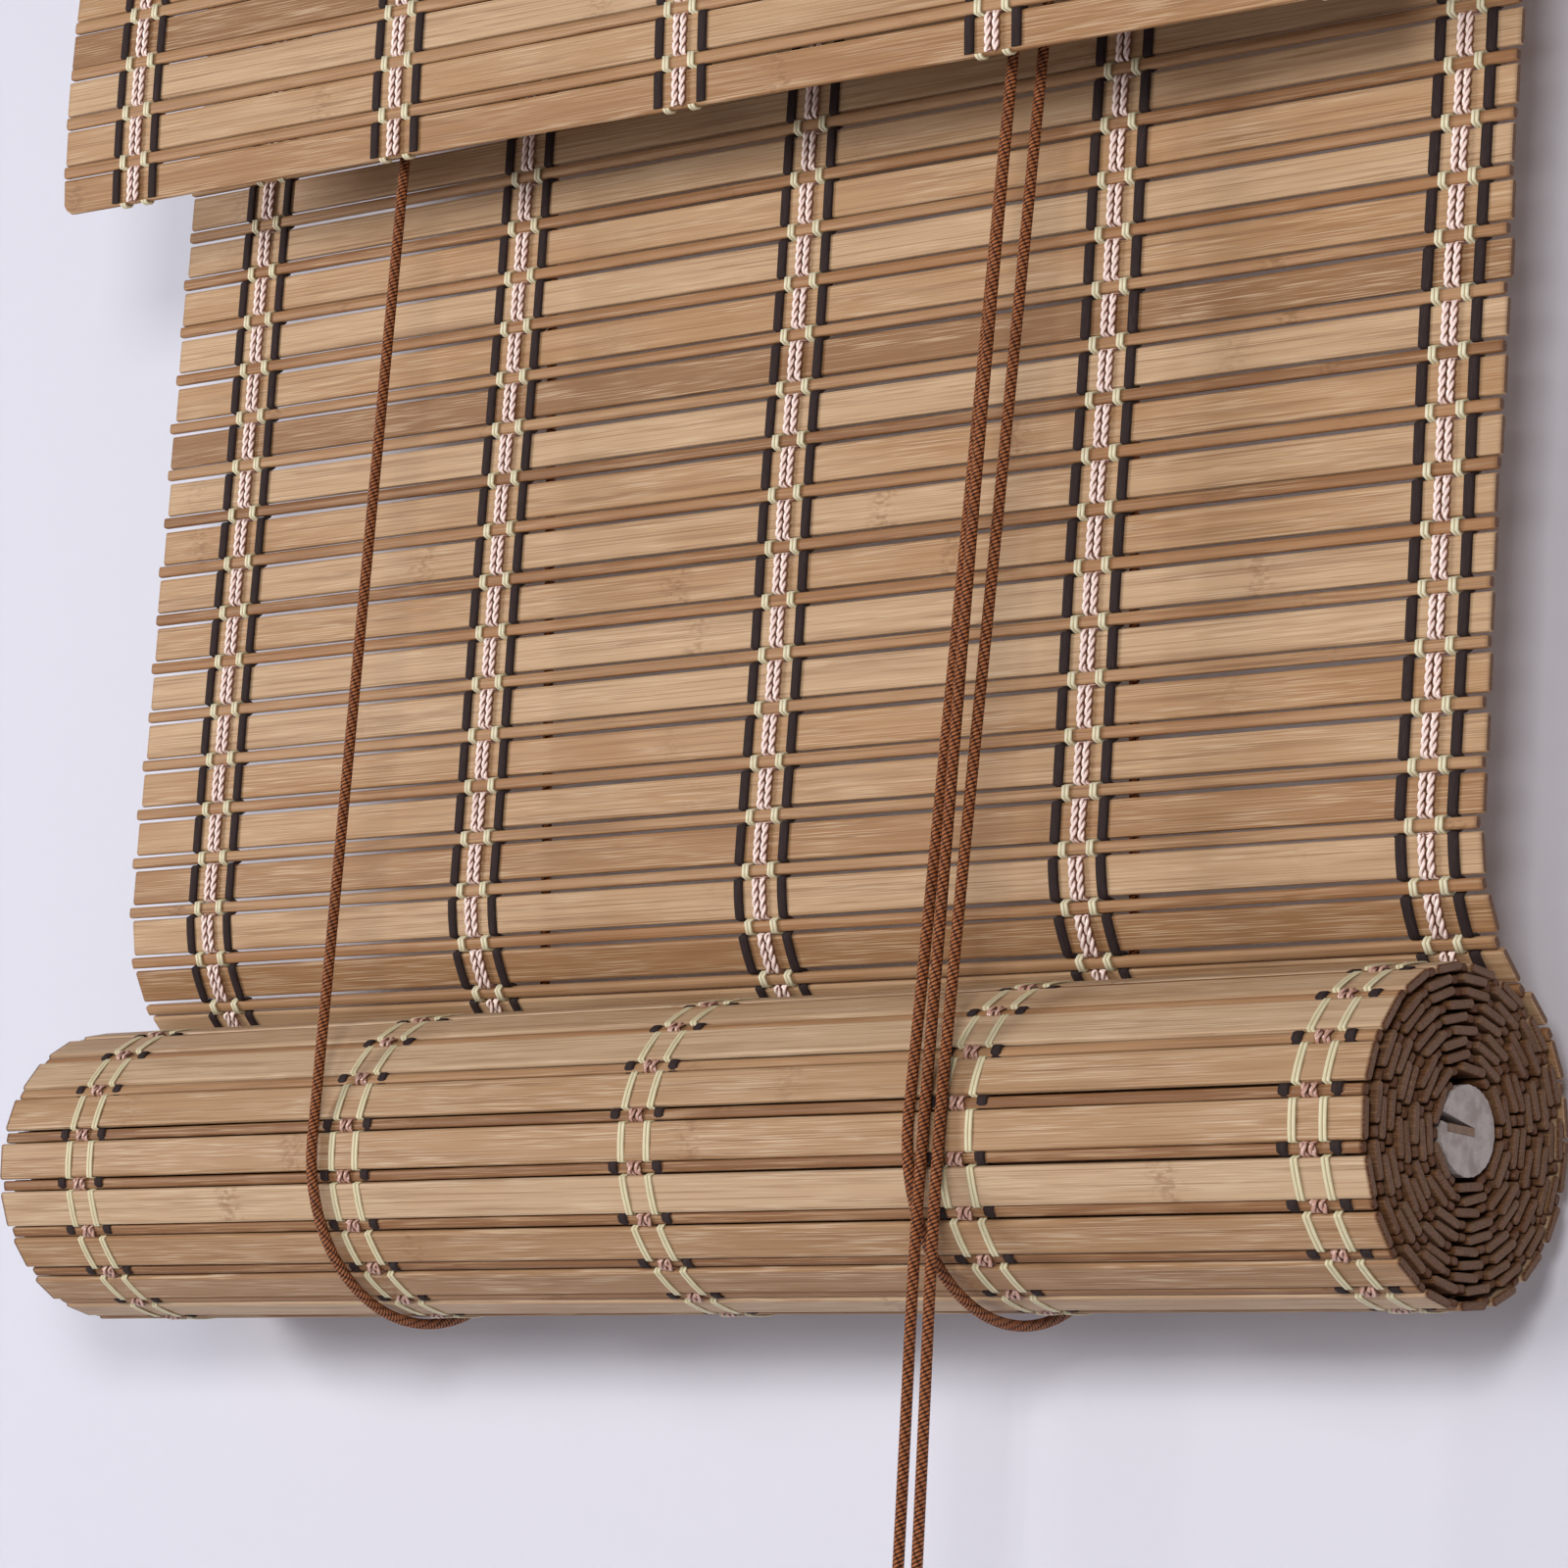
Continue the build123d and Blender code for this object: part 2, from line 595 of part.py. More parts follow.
# Wooden pull, turned, with a recess for the two end knots
pull_top = -pull_drop
belly_z = pull_top - pull_length * pull_belly_share
foot_z = pull_top - pull_length
side_curve = Spline((pull_top_radius, pull_top), (pull_belly_radius, belly_z), (pull_foot_radius, foot_z))
profile = make_face(Plane.XZ * (side_curve + Polyline(
    (pull_foot_radius, foot_z), (0, foot_z), (0, pull_top), (pull_top_radius, pull_top))))
wooden_pull = Pos(pull_x, pull_y, 0) * revolve(profile, Axis.Z)
recess = Cylinder(pull_recess_radius, pull_recess_depth + cut_overrun)
wooden_pull -= Pos(pull_x, pull_y, foot_z + (pull_recess_depth - cut_overrun) / 2) * recess
end_knots = []
for side in (-1, 1):
    x = pull_x + side * pull_cord_spacing / 2
    hole = Cylinder(cord_radius + pull_hole_fit, pull_length + cut_overrun)
    wooden_pull -= Pos(x, pull_y, pull_top - pull_length / 2) * hole
    barrel = Pos(x, pull_y, -pull_bottom - knot_length / 2) * Cylinder(knot_radius, knot_length)
    end_knots.append(fillet(barrel.edges().filter_by(GeomType.CIRCLE), knot_edge))
nodes["wooden_pull"] = wooden_pull
nodes["pull_knots"] = Compound(end_knots)

os.makedirs("parts", exist_ok=True)
for name, shape in nodes.items():
    export_step(shape, os.path.join("parts", name + ".step"))
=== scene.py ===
"""Looks of the bamboo roll-up blind: woven bars, threads, cords, finishes, light and camera.

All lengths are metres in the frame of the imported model: X along the width, -Y towards the
room, +Z up, and the origin in the middle of the head rail's top face.
"""

import logging
import math
from dataclasses import dataclass
from enum import Enum
from typing import Mapping, Sequence, Union

import bpy
import numpy as np
from mathutils import Matrix

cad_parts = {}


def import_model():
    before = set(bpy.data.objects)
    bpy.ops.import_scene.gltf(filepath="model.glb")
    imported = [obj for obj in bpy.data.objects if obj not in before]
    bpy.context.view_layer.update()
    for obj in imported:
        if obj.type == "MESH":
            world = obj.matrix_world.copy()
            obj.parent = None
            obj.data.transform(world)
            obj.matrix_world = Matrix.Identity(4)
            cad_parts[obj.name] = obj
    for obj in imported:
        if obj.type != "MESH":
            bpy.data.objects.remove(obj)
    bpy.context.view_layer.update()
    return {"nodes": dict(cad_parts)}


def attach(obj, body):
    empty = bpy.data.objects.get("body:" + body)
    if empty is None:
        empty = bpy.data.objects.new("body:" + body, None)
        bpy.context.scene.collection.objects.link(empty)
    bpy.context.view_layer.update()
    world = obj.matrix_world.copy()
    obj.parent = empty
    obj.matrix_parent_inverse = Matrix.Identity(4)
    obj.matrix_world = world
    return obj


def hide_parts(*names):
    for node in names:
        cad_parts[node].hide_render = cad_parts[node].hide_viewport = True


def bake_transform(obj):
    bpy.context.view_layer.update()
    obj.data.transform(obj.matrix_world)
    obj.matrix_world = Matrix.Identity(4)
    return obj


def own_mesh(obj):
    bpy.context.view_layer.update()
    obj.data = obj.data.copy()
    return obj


Array = np.ndarray
Colour = tuple[float, float, float]
Point = tuple[float, float, float]
Piece = bpy.types.Object
Material = bpy.types.Material
Socket = bpy.types.NodeSocket
Value = Union[float, Sequence[float], Socket]

LOG = logging.getLogger("blind")
ROLL_Y = 0.0169
ROLL_Z = -0.441585
ROLL_SLOPE = -0.005
MAT_LENGTH = 0.491


class Slot(str, Enum):
    """Material slots of the record."""

    BAMBOO = "bamboo"
    THREAD_DARK = "thread_dark"
    THREAD_CREAM = "thread_cream"
    THREAD_PINK = "thread_pink"
    CORE = "core_wood"
    RAIL = "rail_wood"
    PULL = "pull_wood"
    CORD = "cord"
    STEEL = "plated_steel"
    WHEEL = "wheel_plastic"
    JAM = "jam_brass"


class Plane(Enum):
    """Planes of a cord's arcs, each by the axis that goes with Z."""

    XZ = 0
    YZ = 1


class BarKind(Enum):
    """The two kinds of bar that take turns down the mat."""

    SLAT = "slats"
    STICK = "sticks"


def smooth_share(value: Array) -> Array:
    """Holds shares between 0 and 1 and eases them there with flat ends."""
    held = np.clip(value, 0.0, 1.0)
    return held * held * (3.0 - 2.0 * held)


def unit(vectors: Array) -> Array:
    """Scales vectors to length 1 along the last axis."""
    return vectors / np.linalg.norm(vectors, axis=-1, keepdims=True)


def make_piece(name: str, points: Array, faces: Sequence[Array], smooth: bool,
               attributes: Mapping[str, Array]) -> Piece:
    """Makes a mesh object from whole arrays.

    Args:
        name: Name of the piece.
        points: Vertices, one row each.
        faces: Blocks of faces, each block with one number of corners.
        smooth: Whether faces are shaded smooth.
        attributes: Values per vertex, a number or a vector each.

    Returns:
        The new object, at the origin.
    """
    mesh = bpy.data.meshes.new(name)
    counts = np.concatenate([np.full(len(block), block.shape[1]) for block in faces])
    corners = np.concatenate([block.ravel() for block in faces])
    mesh.vertices.add(len(points))
    mesh.vertices.foreach_set("co", np.ascontiguousarray(points, dtype=np.float32).ravel())
    mesh.loops.add(len(corners))
    mesh.loops.foreach_set("vertex_index", corners.astype(np.int32))
    mesh.polygons.add(len(counts))
    mesh.polygons.foreach_set("loop_start", (np.cumsum(counts) - counts).astype(np.int32))
    mesh.polygons.foreach_set("use_smooth", np.full(len(counts), smooth))
    for key, values in attributes.items():
        vector = values.ndim == 2
        layer = mesh.attributes.new(key, "FLOAT_VECTOR" if vector else "FLOAT", "POINT")
        layer.data.foreach_set("vector" if vector else "value", values.astype(np.float32).ravel())
    mesh.update(calc_edges=True)
    mesh.validate()
    piece = bpy.data.objects.new(name, mesh)
    bpy.context.scene.collection.objects.link(piece)
    return piece


def strip_faces(lines: int, steps: int, sides: int, turned: bool) -> list[Array]:
    """Faces of several closed tubes, ring by ring, with their own vertices for the end caps.

    Args:
        lines: Number of tubes.
        steps: Rings in each tube.
        sides: Points in each ring.
        turned: Whether the rings run clockwise seen along the tube.

    Returns:
        Blocks of side faces and end caps that face outwards.
    """
    rings = np.arange(lines * steps * sides).reshape(lines, steps, sides)
    here, after = rings[:, :-1], rings[:, 1:]
    around = np.roll(rings, -1, axis=2)
    here_next, after_next = around[:, :-1], around[:, 1:]
    order = (here, after, after_next, here_next) if turned else (here, here_next, after_next, after)
    sheets = np.stack(order, axis=-1).reshape(-1, 4)
    caps = lines * steps * sides + np.arange(2 * lines * sides).reshape(lines, 2, sides)
    first, last = caps[:, 0], caps[:, 1]
    if turned:
        return [sheets, first, last[:, ::-1]]
    return [sheets, first[:, ::-1], last]


def with_caps(values: Array) -> Array:
    """Lays out values by tube, ring and side as rows, each tube's end rings again at the end."""
    tail = values.shape[3:]
    return np.concatenate((values.reshape((-1, *tail)), values[:, [0, -1]].reshape((-1, *tail))))


class Lay:
    """A line in the YZ plane that a mat follows."""

    def at(self, along: Array) -> tuple[Array, Array, Array]:
        """Gives Y, Z and heading at distances along; 0 heads straight down, more towards +Y."""
        raise NotImplementedError

    def point(self, along: Array, lift: Array) -> tuple[Array, Array]:
        """Gives Y and Z at distances along, lifted off the line towards the mat's front."""
        y, z, heading = self.at(along)
        return y - lift * np.cos(heading), z - lift * np.sin(heading)


@dataclass(frozen=True)
class HangingLay(Lay):
    """A line that hangs down in straight and evenly bent stretches.

    Attributes:
        start_y: Y of its upper end.
        start_z: Z of its upper end.
        stretches: Length and turn towards +Y of each stretch.
    """

    start_y: float
    start_z: float
    stretches: tuple[tuple[float, float], ...]

    def at(self, along: Array) -> tuple[Array, Array, Array]:
        """Adds up the stretches, each an arc or a straight run.

        Args:
            along: Distances from the line's start.

        Returns:
            Y, Z and heading.
        """
        y = np.full_like(along, self.start_y)
        z = np.full_like(along, self.start_z)
        heading = np.zeros_like(along)
        start, base = 0.0, 0.0
        for number, (length, turn) in enumerate(self.stretches):
            last = number == len(self.stretches) - 1
            step = np.clip(along - start, 0.0, np.inf if last else length)
            ahead = base + turn * step / length
            if turn:
                y += (math.cos(base) - np.cos(ahead)) * length / turn
                z -= (np.sin(ahead) - math.sin(base)) * length / turn
            else:
                y += step * math.sin(base)
                z -= step * math.cos(base)
            heading += turn * step / length
            start += length
            base += turn
        return y, z, heading


@dataclass(frozen=True)
class RolledLay(Lay):
    """A spiral wound in from the back of the roll, down, to the front and over the top.

    Attributes:
        centre_y: Y of the roll's axis.
        centre_z: Z of the roll's axis.
        outer: Radius of the outer turn.
        pitch: Distance between turns.
        turns: Number of turns.
        dip: Share of the second half turn in which the outer turn sinks by one pitch.
        samples: Angles at which the length is measured.
    """

    centre_y: float
    centre_z: float
    outer: float
    pitch: float
    turns: float
    dip: float = 0.65
    samples: int = 6000

    def radius(self, angle: Array) -> Array:
        """Radius at a wound angle: round at first, then dipping under the mat that arrives."""
        outer = self.outer - self.pitch * smooth_share((angle / math.pi - 1.0) / self.dip)
        return np.where(angle < 2 * math.pi, outer, self.outer - self.pitch * angle / (2 * math.pi))

    def at(self, along: Array) -> tuple[Array, Array, Array]:
        """Reads the wound angle off the spiral's measured length.

        Args:
            along: Distances from the line's start.

        Returns:
            Y, Z and heading.
        """
        angles = np.linspace(0.0, 2 * math.pi * self.turns, self.samples)
        radii = self.radius(angles)
        steps = np.diff(angles) * (radii[1:] + radii[:-1]) / 2
        lengths = np.concatenate(([0.0], np.cumsum(steps)))
        angle = np.interp(along, lengths, angles)
        radius = self.radius(angle)
        return self.centre_y + radius * np.cos(angle), self.centre_z - radius * np.sin(angle), -angle


@dataclass(frozen=True)
class MatSizes:
    """Sizes of a woven mat.

    Attributes:
        rows: Rows of one slat and one stick.
        closing_slat: Whether one more slat ends the mat.
        row_pitch: Height of a row.
        slat_width: Height of a slat.
        slat_thickness: Thickness of a slat.
        stick_width: Height of a stick.
        stick_thickness: Thickness of a stick.
        stick_rise: How far the sticks stand towards the front.
        overhang: How far the sticks reach past the slats at each end.
        stick_slide: X of the sticks' middle from the slats' middle.
        ragged: Spread of the bars' ends.
        soil_and_shade: Share of the sawn ends' dark colour on the bars' tips: soil on the mats, and
            painted shade in the crevices at the roll's ends.
        open_length: Length of mat, from its start, that is open to view; bars beyond it get the dark end
            colour as painted shade.
        stick_tone_and_shade: Middle tone of the sticks, 0 pale and 1 warm; above 1, as on the roll, it
            darkens them as painted shade between the pressed slats.
        length: Length of the slats along X.
        shift: X of the slats' middle.
        slope: Drop of the bars for each length towards +X.
        corner: Radius of the closing slat's lower corners.
        first_row: Row that the piece starts with, counted along the whole mat.
    """

    rows: int
    closing_slat: bool = False
    row_pitch: float = 0.015
    slat_width: float = 0.0102
    slat_thickness: float = 0.002
    stick_width: float = 0.0032
    stick_thickness: float = 0.0024
    stick_rise: float = 0.0006
    overhang: float = 0.0
    stick_slide: float = -0.0005
    ragged: float = 0.0004
    soil_and_shade: float = 0.2
    open_length: float = 1.0
    stick_tone_and_shade: float = 0.5
    length: float = MAT_LENGTH
    shift: float = 0.0
    slope: float = 0.0
    corner: float = 0.0
    first_row: int = 0

    def middles(self, kind: BarKind) -> Array:
        """Distances of the bars' middles along the mat.

        Args:
            kind: Slats or sticks.

        Returns:
            One distance per bar.
        """
        slats = kind is BarKind.SLAT
        rows = self.first_row + np.arange(self.rows + (slats and self.closing_slat))
        return rows * self.row_pitch + (self.slat_width + (0.0 if slats else self.row_pitch)) / 2

    def stick_share(self, along: Array) -> Array:
        """Tells where a woven thread is at a stick and where it is at a slat.

        Args:
            along: Distances along the mat.

        Returns:
            Shares, 0 at a slat and 1 at a stick, easing over in the gaps between them.
        """
        middle = (self.row_pitch + self.slat_width) / 2
        gap = (self.row_pitch - self.slat_width - self.stick_width) / 2
        shift = (along - middle + self.row_pitch / 2) % self.row_pitch - self.row_pitch / 2
        return smooth_share((self.stick_width / 2 + gap * 1.1 - np.abs(shift)) / (gap * 1.2))


@dataclass(frozen=True)
class Strand:
    """One filament of a band.

    Attributes:
        shift: X from the band's middle.
        width: Size along X.
        thickness: Size through the mat.
        over_slats: Whether it runs in front of the slats and behind the sticks, or the other way.
        twist: Radius of its winding about its cord.
        phase: Angle of its winding at the start.
    """

    shift: float
    width: float
    thickness: float
    over_slats: bool
    twist: float = 0.0
    phase: float = 0.0


DARK_STRANDS = tuple(Strand(side * 0.0079, 0.0034, 0.0010, True) for side in (-1, 1))
CREAM_STRANDS = tuple(
    Strand(side * 0.0046 + half * 0.00062, 0.0013, 0.0009, False) for side in (-1, 1) for half in (-1, 1))
PINK_STRANDS = tuple(
    Strand(side * 0.00132, 0.00145, 0.0010, True, 0.00058, turn * math.pi + side * 0.9)
    for side in (-1, 1) for turn in (0, 1))
BAND_MIDDLES = (-0.2106, -0.1006, 0.0094, 0.1194, 0.2294)
BAND_SWAY = 0.00025
TWIST_PITCH = 0.0054
TWIST_STEPS = 24
TWIST_FLATNESS = 0.6
STRAND_SIDES = 6
STRAND_SPREAD = 1.7
PLAIN_SHARES = (0.0, 0.02, 0.1, 0.33, 0.56, 0.655, 0.685, 0.715, 0.745, 0.84, 0.93, 0.965)
TIP_SHARES = (0.0, 0.0006, 0.0025, 0.006, 0.01)
TIP_INSET = 0.00028
SWAY_WAVES = (0.55, 1.2, 2.4)
SWAY_SIZES = (1.0, 0.6, 0.35)
SWAY_DROP, SWAY_LIFT = 0.00011, 0.00009
TONE_SPREAD = 0.42
KNOT_REACH = 0.24
GRAIN_SPREAD = 9.0
# Shares of the dark end colour: painted shade on the bars hidden inside the roll, and the sawn colour of
# the caps.
SHADE_INSIDE, SHADE_CAPS = 0.85, 0.92


@dataclass
class WovenMat:
    """A length of mat: its slats, its sticks and the threads that lace them.

    Attributes:
        name: Start of its pieces' names.
        lay: Line that it follows.
        sizes: Sizes of its bars.
        threaded: Length of the line that has threads, from start to end.
        seed: Seed of its small irregularities.
        firmness: 1 keeps a bar flat across its width, 0 bends it along the line.
        pressed: Share of their thickness that the threads keep.
    """

    name: str
    lay: Lay
    sizes: MatSizes
    threaded: tuple[float, float]
    seed: int
    firmness: float = 1.0
    pressed: float = 1.0

    def profile(self, kind: BarKind) -> tuple[Array, Array]:
        """Section of a bar: a slat's rounded rectangle or a stick's squarish oval.

        Args:
            kind: Slats or sticks.

        Returns:
            Offsets along the mat and towards its front, counter-clockwise.
        """
        if kind is BarKind.STICK:
            angle = np.arange(12) * math.pi / 6
            across = np.sign(np.cos(angle)) * np.abs(np.cos(angle)) ** 0.5 * self.sizes.stick_width / 2
            depth = np.sign(np.sin(angle)) * np.abs(np.sin(angle)) ** 0.5 * self.sizes.stick_thickness / 2
            return across, depth + self.sizes.stick_rise
        round_off = 0.4 * self.sizes.slat_thickness
        angle = (np.arange(4)[:, None] + np.array([0.0, 0.5, 1.0])[None, :]) * math.pi / 2
        sign_across = np.array([1, -1, -1, 1])[:, None]
        sign_depth = np.array([1, 1, -1, -1])[:, None]
        across = sign_across * (self.sizes.slat_width / 2 - round_off) + round_off * np.cos(angle)
        depth = sign_depth * (self.sizes.slat_thickness / 2 - round_off) + round_off * np.sin(angle)
        return across.ravel(), depth.ravel()

    def rings(self, middles: Array, across: Array, depth: Array) -> tuple[Array, Array]:
        """Sets sections on the mat's line, part flat and part bent along it.

        Args:
            middles: Distances of the bars' middles along the mat.
            across: Offsets along the mat, by bar and side.
            depth: Offsets towards the front, by bar and side.

        Returns:
            Y and Z by bar and side.
        """
        y, z, heading = self.lay.at(middles)
        flat_y = y[:, None] + across * np.sin(heading)[:, None]
        flat_z = z[:, None] - across * np.cos(heading)[:, None]
        bent_y, bent_z, bent_heading = self.lay.at(middles[:, None] + across)
        firm = self.firmness
        lean = firm * heading[:, None] + (1 - firm) * bent_heading
        return (
            firm * flat_y + (1 - firm) * bent_y - depth * np.cos(lean),
            firm * flat_z + (1 - firm) * bent_z - depth * np.sin(lean))

    def build_bars(self, kind: BarKind) -> Piece:
        """Builds all slats or all sticks as one piece.

        Each bar is a section carried along X and drawn in a little at its two ends. The section
        follows the mat's line, and slow waves with seeded phases let the bar wander, as split
        bamboo does.

        Args:
            kind: Slats or sticks.

        Returns:
            The piece, with attributes grain, tone, knots and sawn_end_and_shade, the share of the dark
            sawn-end colour, which on the roll is painted shade.
        """
        rng = np.random.default_rng(self.seed + (0 if kind is BarKind.SLAT else 1))
        middles = self.sizes.middles(kind)
        count = len(middles)
        across, depth = self.profile(kind)
        swell = np.clip(rng.normal(1.0, 0.018, count), 0.96, 1.03)
        across = across[None, :] * swell[:, None]
        depth = np.repeat(depth[None, :], count, axis=0)
        heading = self.lay.at(middles)[2]
        tip = np.array(TIP_SHARES)
        share = np.concatenate((tip, np.linspace(0.06, 0.94, 11), 1 - tip[::-1]))
        stations = len(share)
        tips = np.isin(np.arange(stations), (0, stations - 1))[None, :, None]
        narrow = 1 - TIP_INSET / np.max(across, axis=1, keepdims=True)
        mean_depth = depth.mean(axis=1, keepdims=True)
        thin = 1 - TIP_INSET / (np.ptp(depth, axis=1)[:, None] / 2)
        whole = self.rings(middles, across, depth)
        drawn = self.rings(middles, across * narrow, mean_depth + (depth - mean_depth) * thin)
        ring_y = np.where(tips, drawn[0][:, None, :], whole[0][:, None, :])
        ring_z = np.where(tips, drawn[1][:, None, :], whole[1][:, None, :])
        ragged = self.sizes.ragged
        ends = np.clip(rng.normal(0.0, ragged, (count, 2)), -2 * ragged, 2 * ragged)
        stick = kind is BarKind.STICK
        reach = self.sizes.length / 2 + (self.sizes.overhang if stick else 0.0)
        centre = self.sizes.shift + (self.sizes.stick_slide if stick else 0.0)
        left = centre - reach + ends[:, :1]
        along = left + share[None, :] * (centre + reach + ends[:, 1:] - left)
        waves = 2 * math.pi * np.array(SWAY_WAVES)
        phases = rng.uniform(0.0, 2 * math.pi, (2, count, 1, len(waves)))
        sway = np.sin(waves * share[None, :, None] + phases) @ np.array(SWAY_SIZES)
        drop, lift = sway[0] * SWAY_DROP, sway[1] * SWAY_LIFT
        shift_y = drop * np.sin(heading)[:, None] - lift * np.cos(heading)[:, None]
        shift_z = -drop * np.cos(heading)[:, None] - lift * np.sin(heading)[:, None]
        shape = (count, stations, across.shape[1])
        points = np.stack((
            np.broadcast_to(along[:, :, None], shape),
            ring_y + shift_y[:, :, None],
            ring_z + shift_z[:, :, None] - self.sizes.slope * along[:, :, None]), axis=-1)
        if kind is BarKind.SLAT and self.sizes.corner > 0:
            inset = np.minimum(share, 1 - share) * self.sizes.length
            cut = np.clip(1 - inset / self.sizes.corner, 0.0, 1.0)
            trim = self.sizes.corner * (1 - np.sqrt(1 - cut ** 2))
            low = np.clip(across[-1] / np.max(across[-1]), 0.0, 1.0)
            points[-1, :, :, 2] += trim[:, None] * low[None, :]
        far = rng.uniform(0.0, GRAIN_SPREAD, (count, 1, 1))
        grain = np.stack((
            np.broadcast_to(along[:, :, None], shape) + far,
            np.broadcast_to(across[:, None, :], shape) + far,
            np.broadcast_to(depth[:, None, :], shape)), axis=-1)
        knots = np.stack((
            rng.uniform(-KNOT_REACH, 0.0, count) + far[:, 0, 0],
            rng.uniform(0.0, KNOT_REACH, count) + far[:, 0, 0],
            rng.uniform(0.0, 1.0, count) ** 1.5), axis=-1)
        # On the roll the sticks' high tone is painted shade between the pressed slats.
        middle_tone_and_shade = self.sizes.stick_tone_and_shade if stick else 0.5
        tone = np.clip(rng.normal(middle_tone_and_shade, TONE_SPREAD, count), 0.0, 1.6)
        # The dark end colour at the caps and tips; at the roll's tips and on its hidden bars it is
        # painted shade.
        edges = np.zeros(points.shape[:3])
        edges[:, [0, 1, -2, -1]] = self.sizes.soil_and_shade
        edges[middles > self.sizes.open_length] = SHADE_INSIDE
        sawn_end_and_shade = with_caps(edges)
        sawn_end_and_shade[edges.size:] = SHADE_CAPS
        attributes = {
            "grain": with_caps(grain),
            "tone": with_caps(np.broadcast_to(tone[:, None, None], shape)),
            "knots": with_caps(np.broadcast_to(knots[:, None, None, :], shape + (3,))),
            "sawn_end_and_shade": sawn_end_and_shade,
        }
        faces = strip_faces(count, stations, shape[2], True)
        return make_piece(
            f"{self.name}_{kind.value}", with_caps(points), faces, stick, attributes)

    def build_threads(self, label: str, strands: Sequence[Strand]) -> Piece:
        """Builds one kind of thread in all bands as one piece.

        Each strand is an ellipse carried along a woven line: it passes in front of one kind of
        bar and behind the other, and a twisted strand also winds about its cord's middle.

        Args:
            label: End of the piece's name.
            strands: Filaments of one band.

        Returns:
            The piece, with attribute strand.
        """
        rng = np.random.default_rng(self.seed + 7)
        twisted = strands[0].twist > 0
        shares = np.arange(TWIST_STEPS) / TWIST_STEPS if twisted else np.array(PLAIN_SHARES)
        pitch = self.sizes.row_pitch
        rows = np.arange(math.ceil(self.threaded[1] / pitch) + 1)
        along = ((rows[:, None] + shares[None, :]) * pitch).ravel()
        along = along[(along >= self.threaded[0]) & (along <= self.threaded[1])]
        at_stick = self.sizes.stick_share(along)
        lines, widths, depths = [], [], []
        for middle in BAND_MIDDLES:
            sway = BAND_SWAY * np.sin(along * rng.uniform(35, 60) + rng.uniform(0, 6))
            for strand in strands:
                half = self.pressed * strand.thickness / 2
                turn = 2 * math.pi * along / TWIST_PITCH + strand.phase
                flat_twist = TWIST_FLATNESS * strand.twist
                room = half + flat_twist
                way = 1.0 if strand.over_slats else -1.0
                at_slats = way * (self.sizes.slat_thickness / 2 + room)
                at_sticks = self.sizes.stick_rise - way * (self.sizes.stick_thickness / 2 + room)
                woven = at_slats * (1 - at_stick) + at_sticks * at_stick
                lift = woven + flat_twist * np.sin(turn)
                y, z = self.lay.point(along, lift)
                x = middle + strand.shift + sway + strand.twist * np.cos(turn)
                lines.append(np.stack((x, y, z - self.sizes.slope * x), axis=-1))
                widths.append(strand.width / 2)
                depths.append(half)
        return make_tubes(
            f"{self.name}_lacing_{label}", np.array(lines), np.array([1.0, 0.0, 0.0]),
            np.array(widths), np.array(depths), STRAND_SIDES)

    def build_hems(self, strands: Sequence[Strand]) -> Piece:
        """Builds the thread ends that turn up round the lower edge of the last bar.

        Each end is an ellipse carried along half an oval about the edge.

        Args:
            strands: Filaments of one band.

        Returns:
            The piece, with attribute strand.
        """
        tail, bulge, inset, tuck, depth = 0.003, 0.001, 0.0005, -0.0014, 0.0015
        foot = self.sizes.middles(BarKind.SLAT)[-1] + self.sizes.slat_width / 2
        angle = np.linspace(-math.pi / 2, math.pi / 2, 9)
        along = np.concatenate(([foot - tail], foot + bulge * np.cos(angle) - inset))
        lift = np.concatenate(([tuck], depth * np.sin(angle)))
        y, z = self.lay.point(along, lift)
        lines = []
        for middle in BAND_MIDDLES:
            for strand in strands:
                x = np.full_like(along, middle + strand.shift)
                lines.append(np.stack((x, y, z - self.sizes.slope * x), axis=-1))
        half = np.full(len(lines), strands[0].width / 2)
        return make_tubes(
            f"{self.name}_hems", np.array(lines), np.array([1.0, 0.0, 0.0]), half, half * 0.7,
            STRAND_SIDES)


def make_tubes(name: str, lines: Array, side: Array, widths: Array, depths: Array,
               sides: int) -> Piece:
    """Builds closed tubes of elliptic section along lines of equally many points.

    A point of a tube is its line's point plus the section's point in the plane across the line.

    Args:
        name: Name of the piece.
        lines: Points by tube.
        side: Direction that the section's width keeps to.
        widths: Half width of each tube.
        depths: Half thickness of each tube.
        sides: Points in a ring.

    Returns:
        The piece, with attribute strand: length along the tube, and place across it.
    """
    forward = unit(np.gradient(lines, axis=1))
    normal = unit(np.cross(forward, side))
    across = np.cross(normal, forward)
    angle = np.arange(sides) * 2 * math.pi / sides
    steps = np.linalg.norm(np.diff(lines, axis=1), axis=-1)
    length = np.concatenate((np.zeros((len(lines), 1)), np.cumsum(steps, axis=1)), axis=1)
    wide = np.broadcast_to(np.cos(angle) * widths[:, None, None], (*length.shape, sides))
    deep = np.broadcast_to(np.sin(angle) * depths[:, None, None], (*length.shape, sides))
    offset = wide[..., None] * across[:, :, None, :]
    points = lines[:, :, None, :] + offset + deep[..., None] * normal[:, :, None, :]
    far = np.arange(len(lines))[:, None, None] * STRAND_SPREAD
    strand = np.stack((np.broadcast_to(length[:, :, None], wide.shape) + far, wide, deep), axis=-1)
    faces = strip_faces(len(lines), lines.shape[1], sides, False)
    return make_piece(name, with_caps(points), faces, True, {"strand": with_caps(strand)})


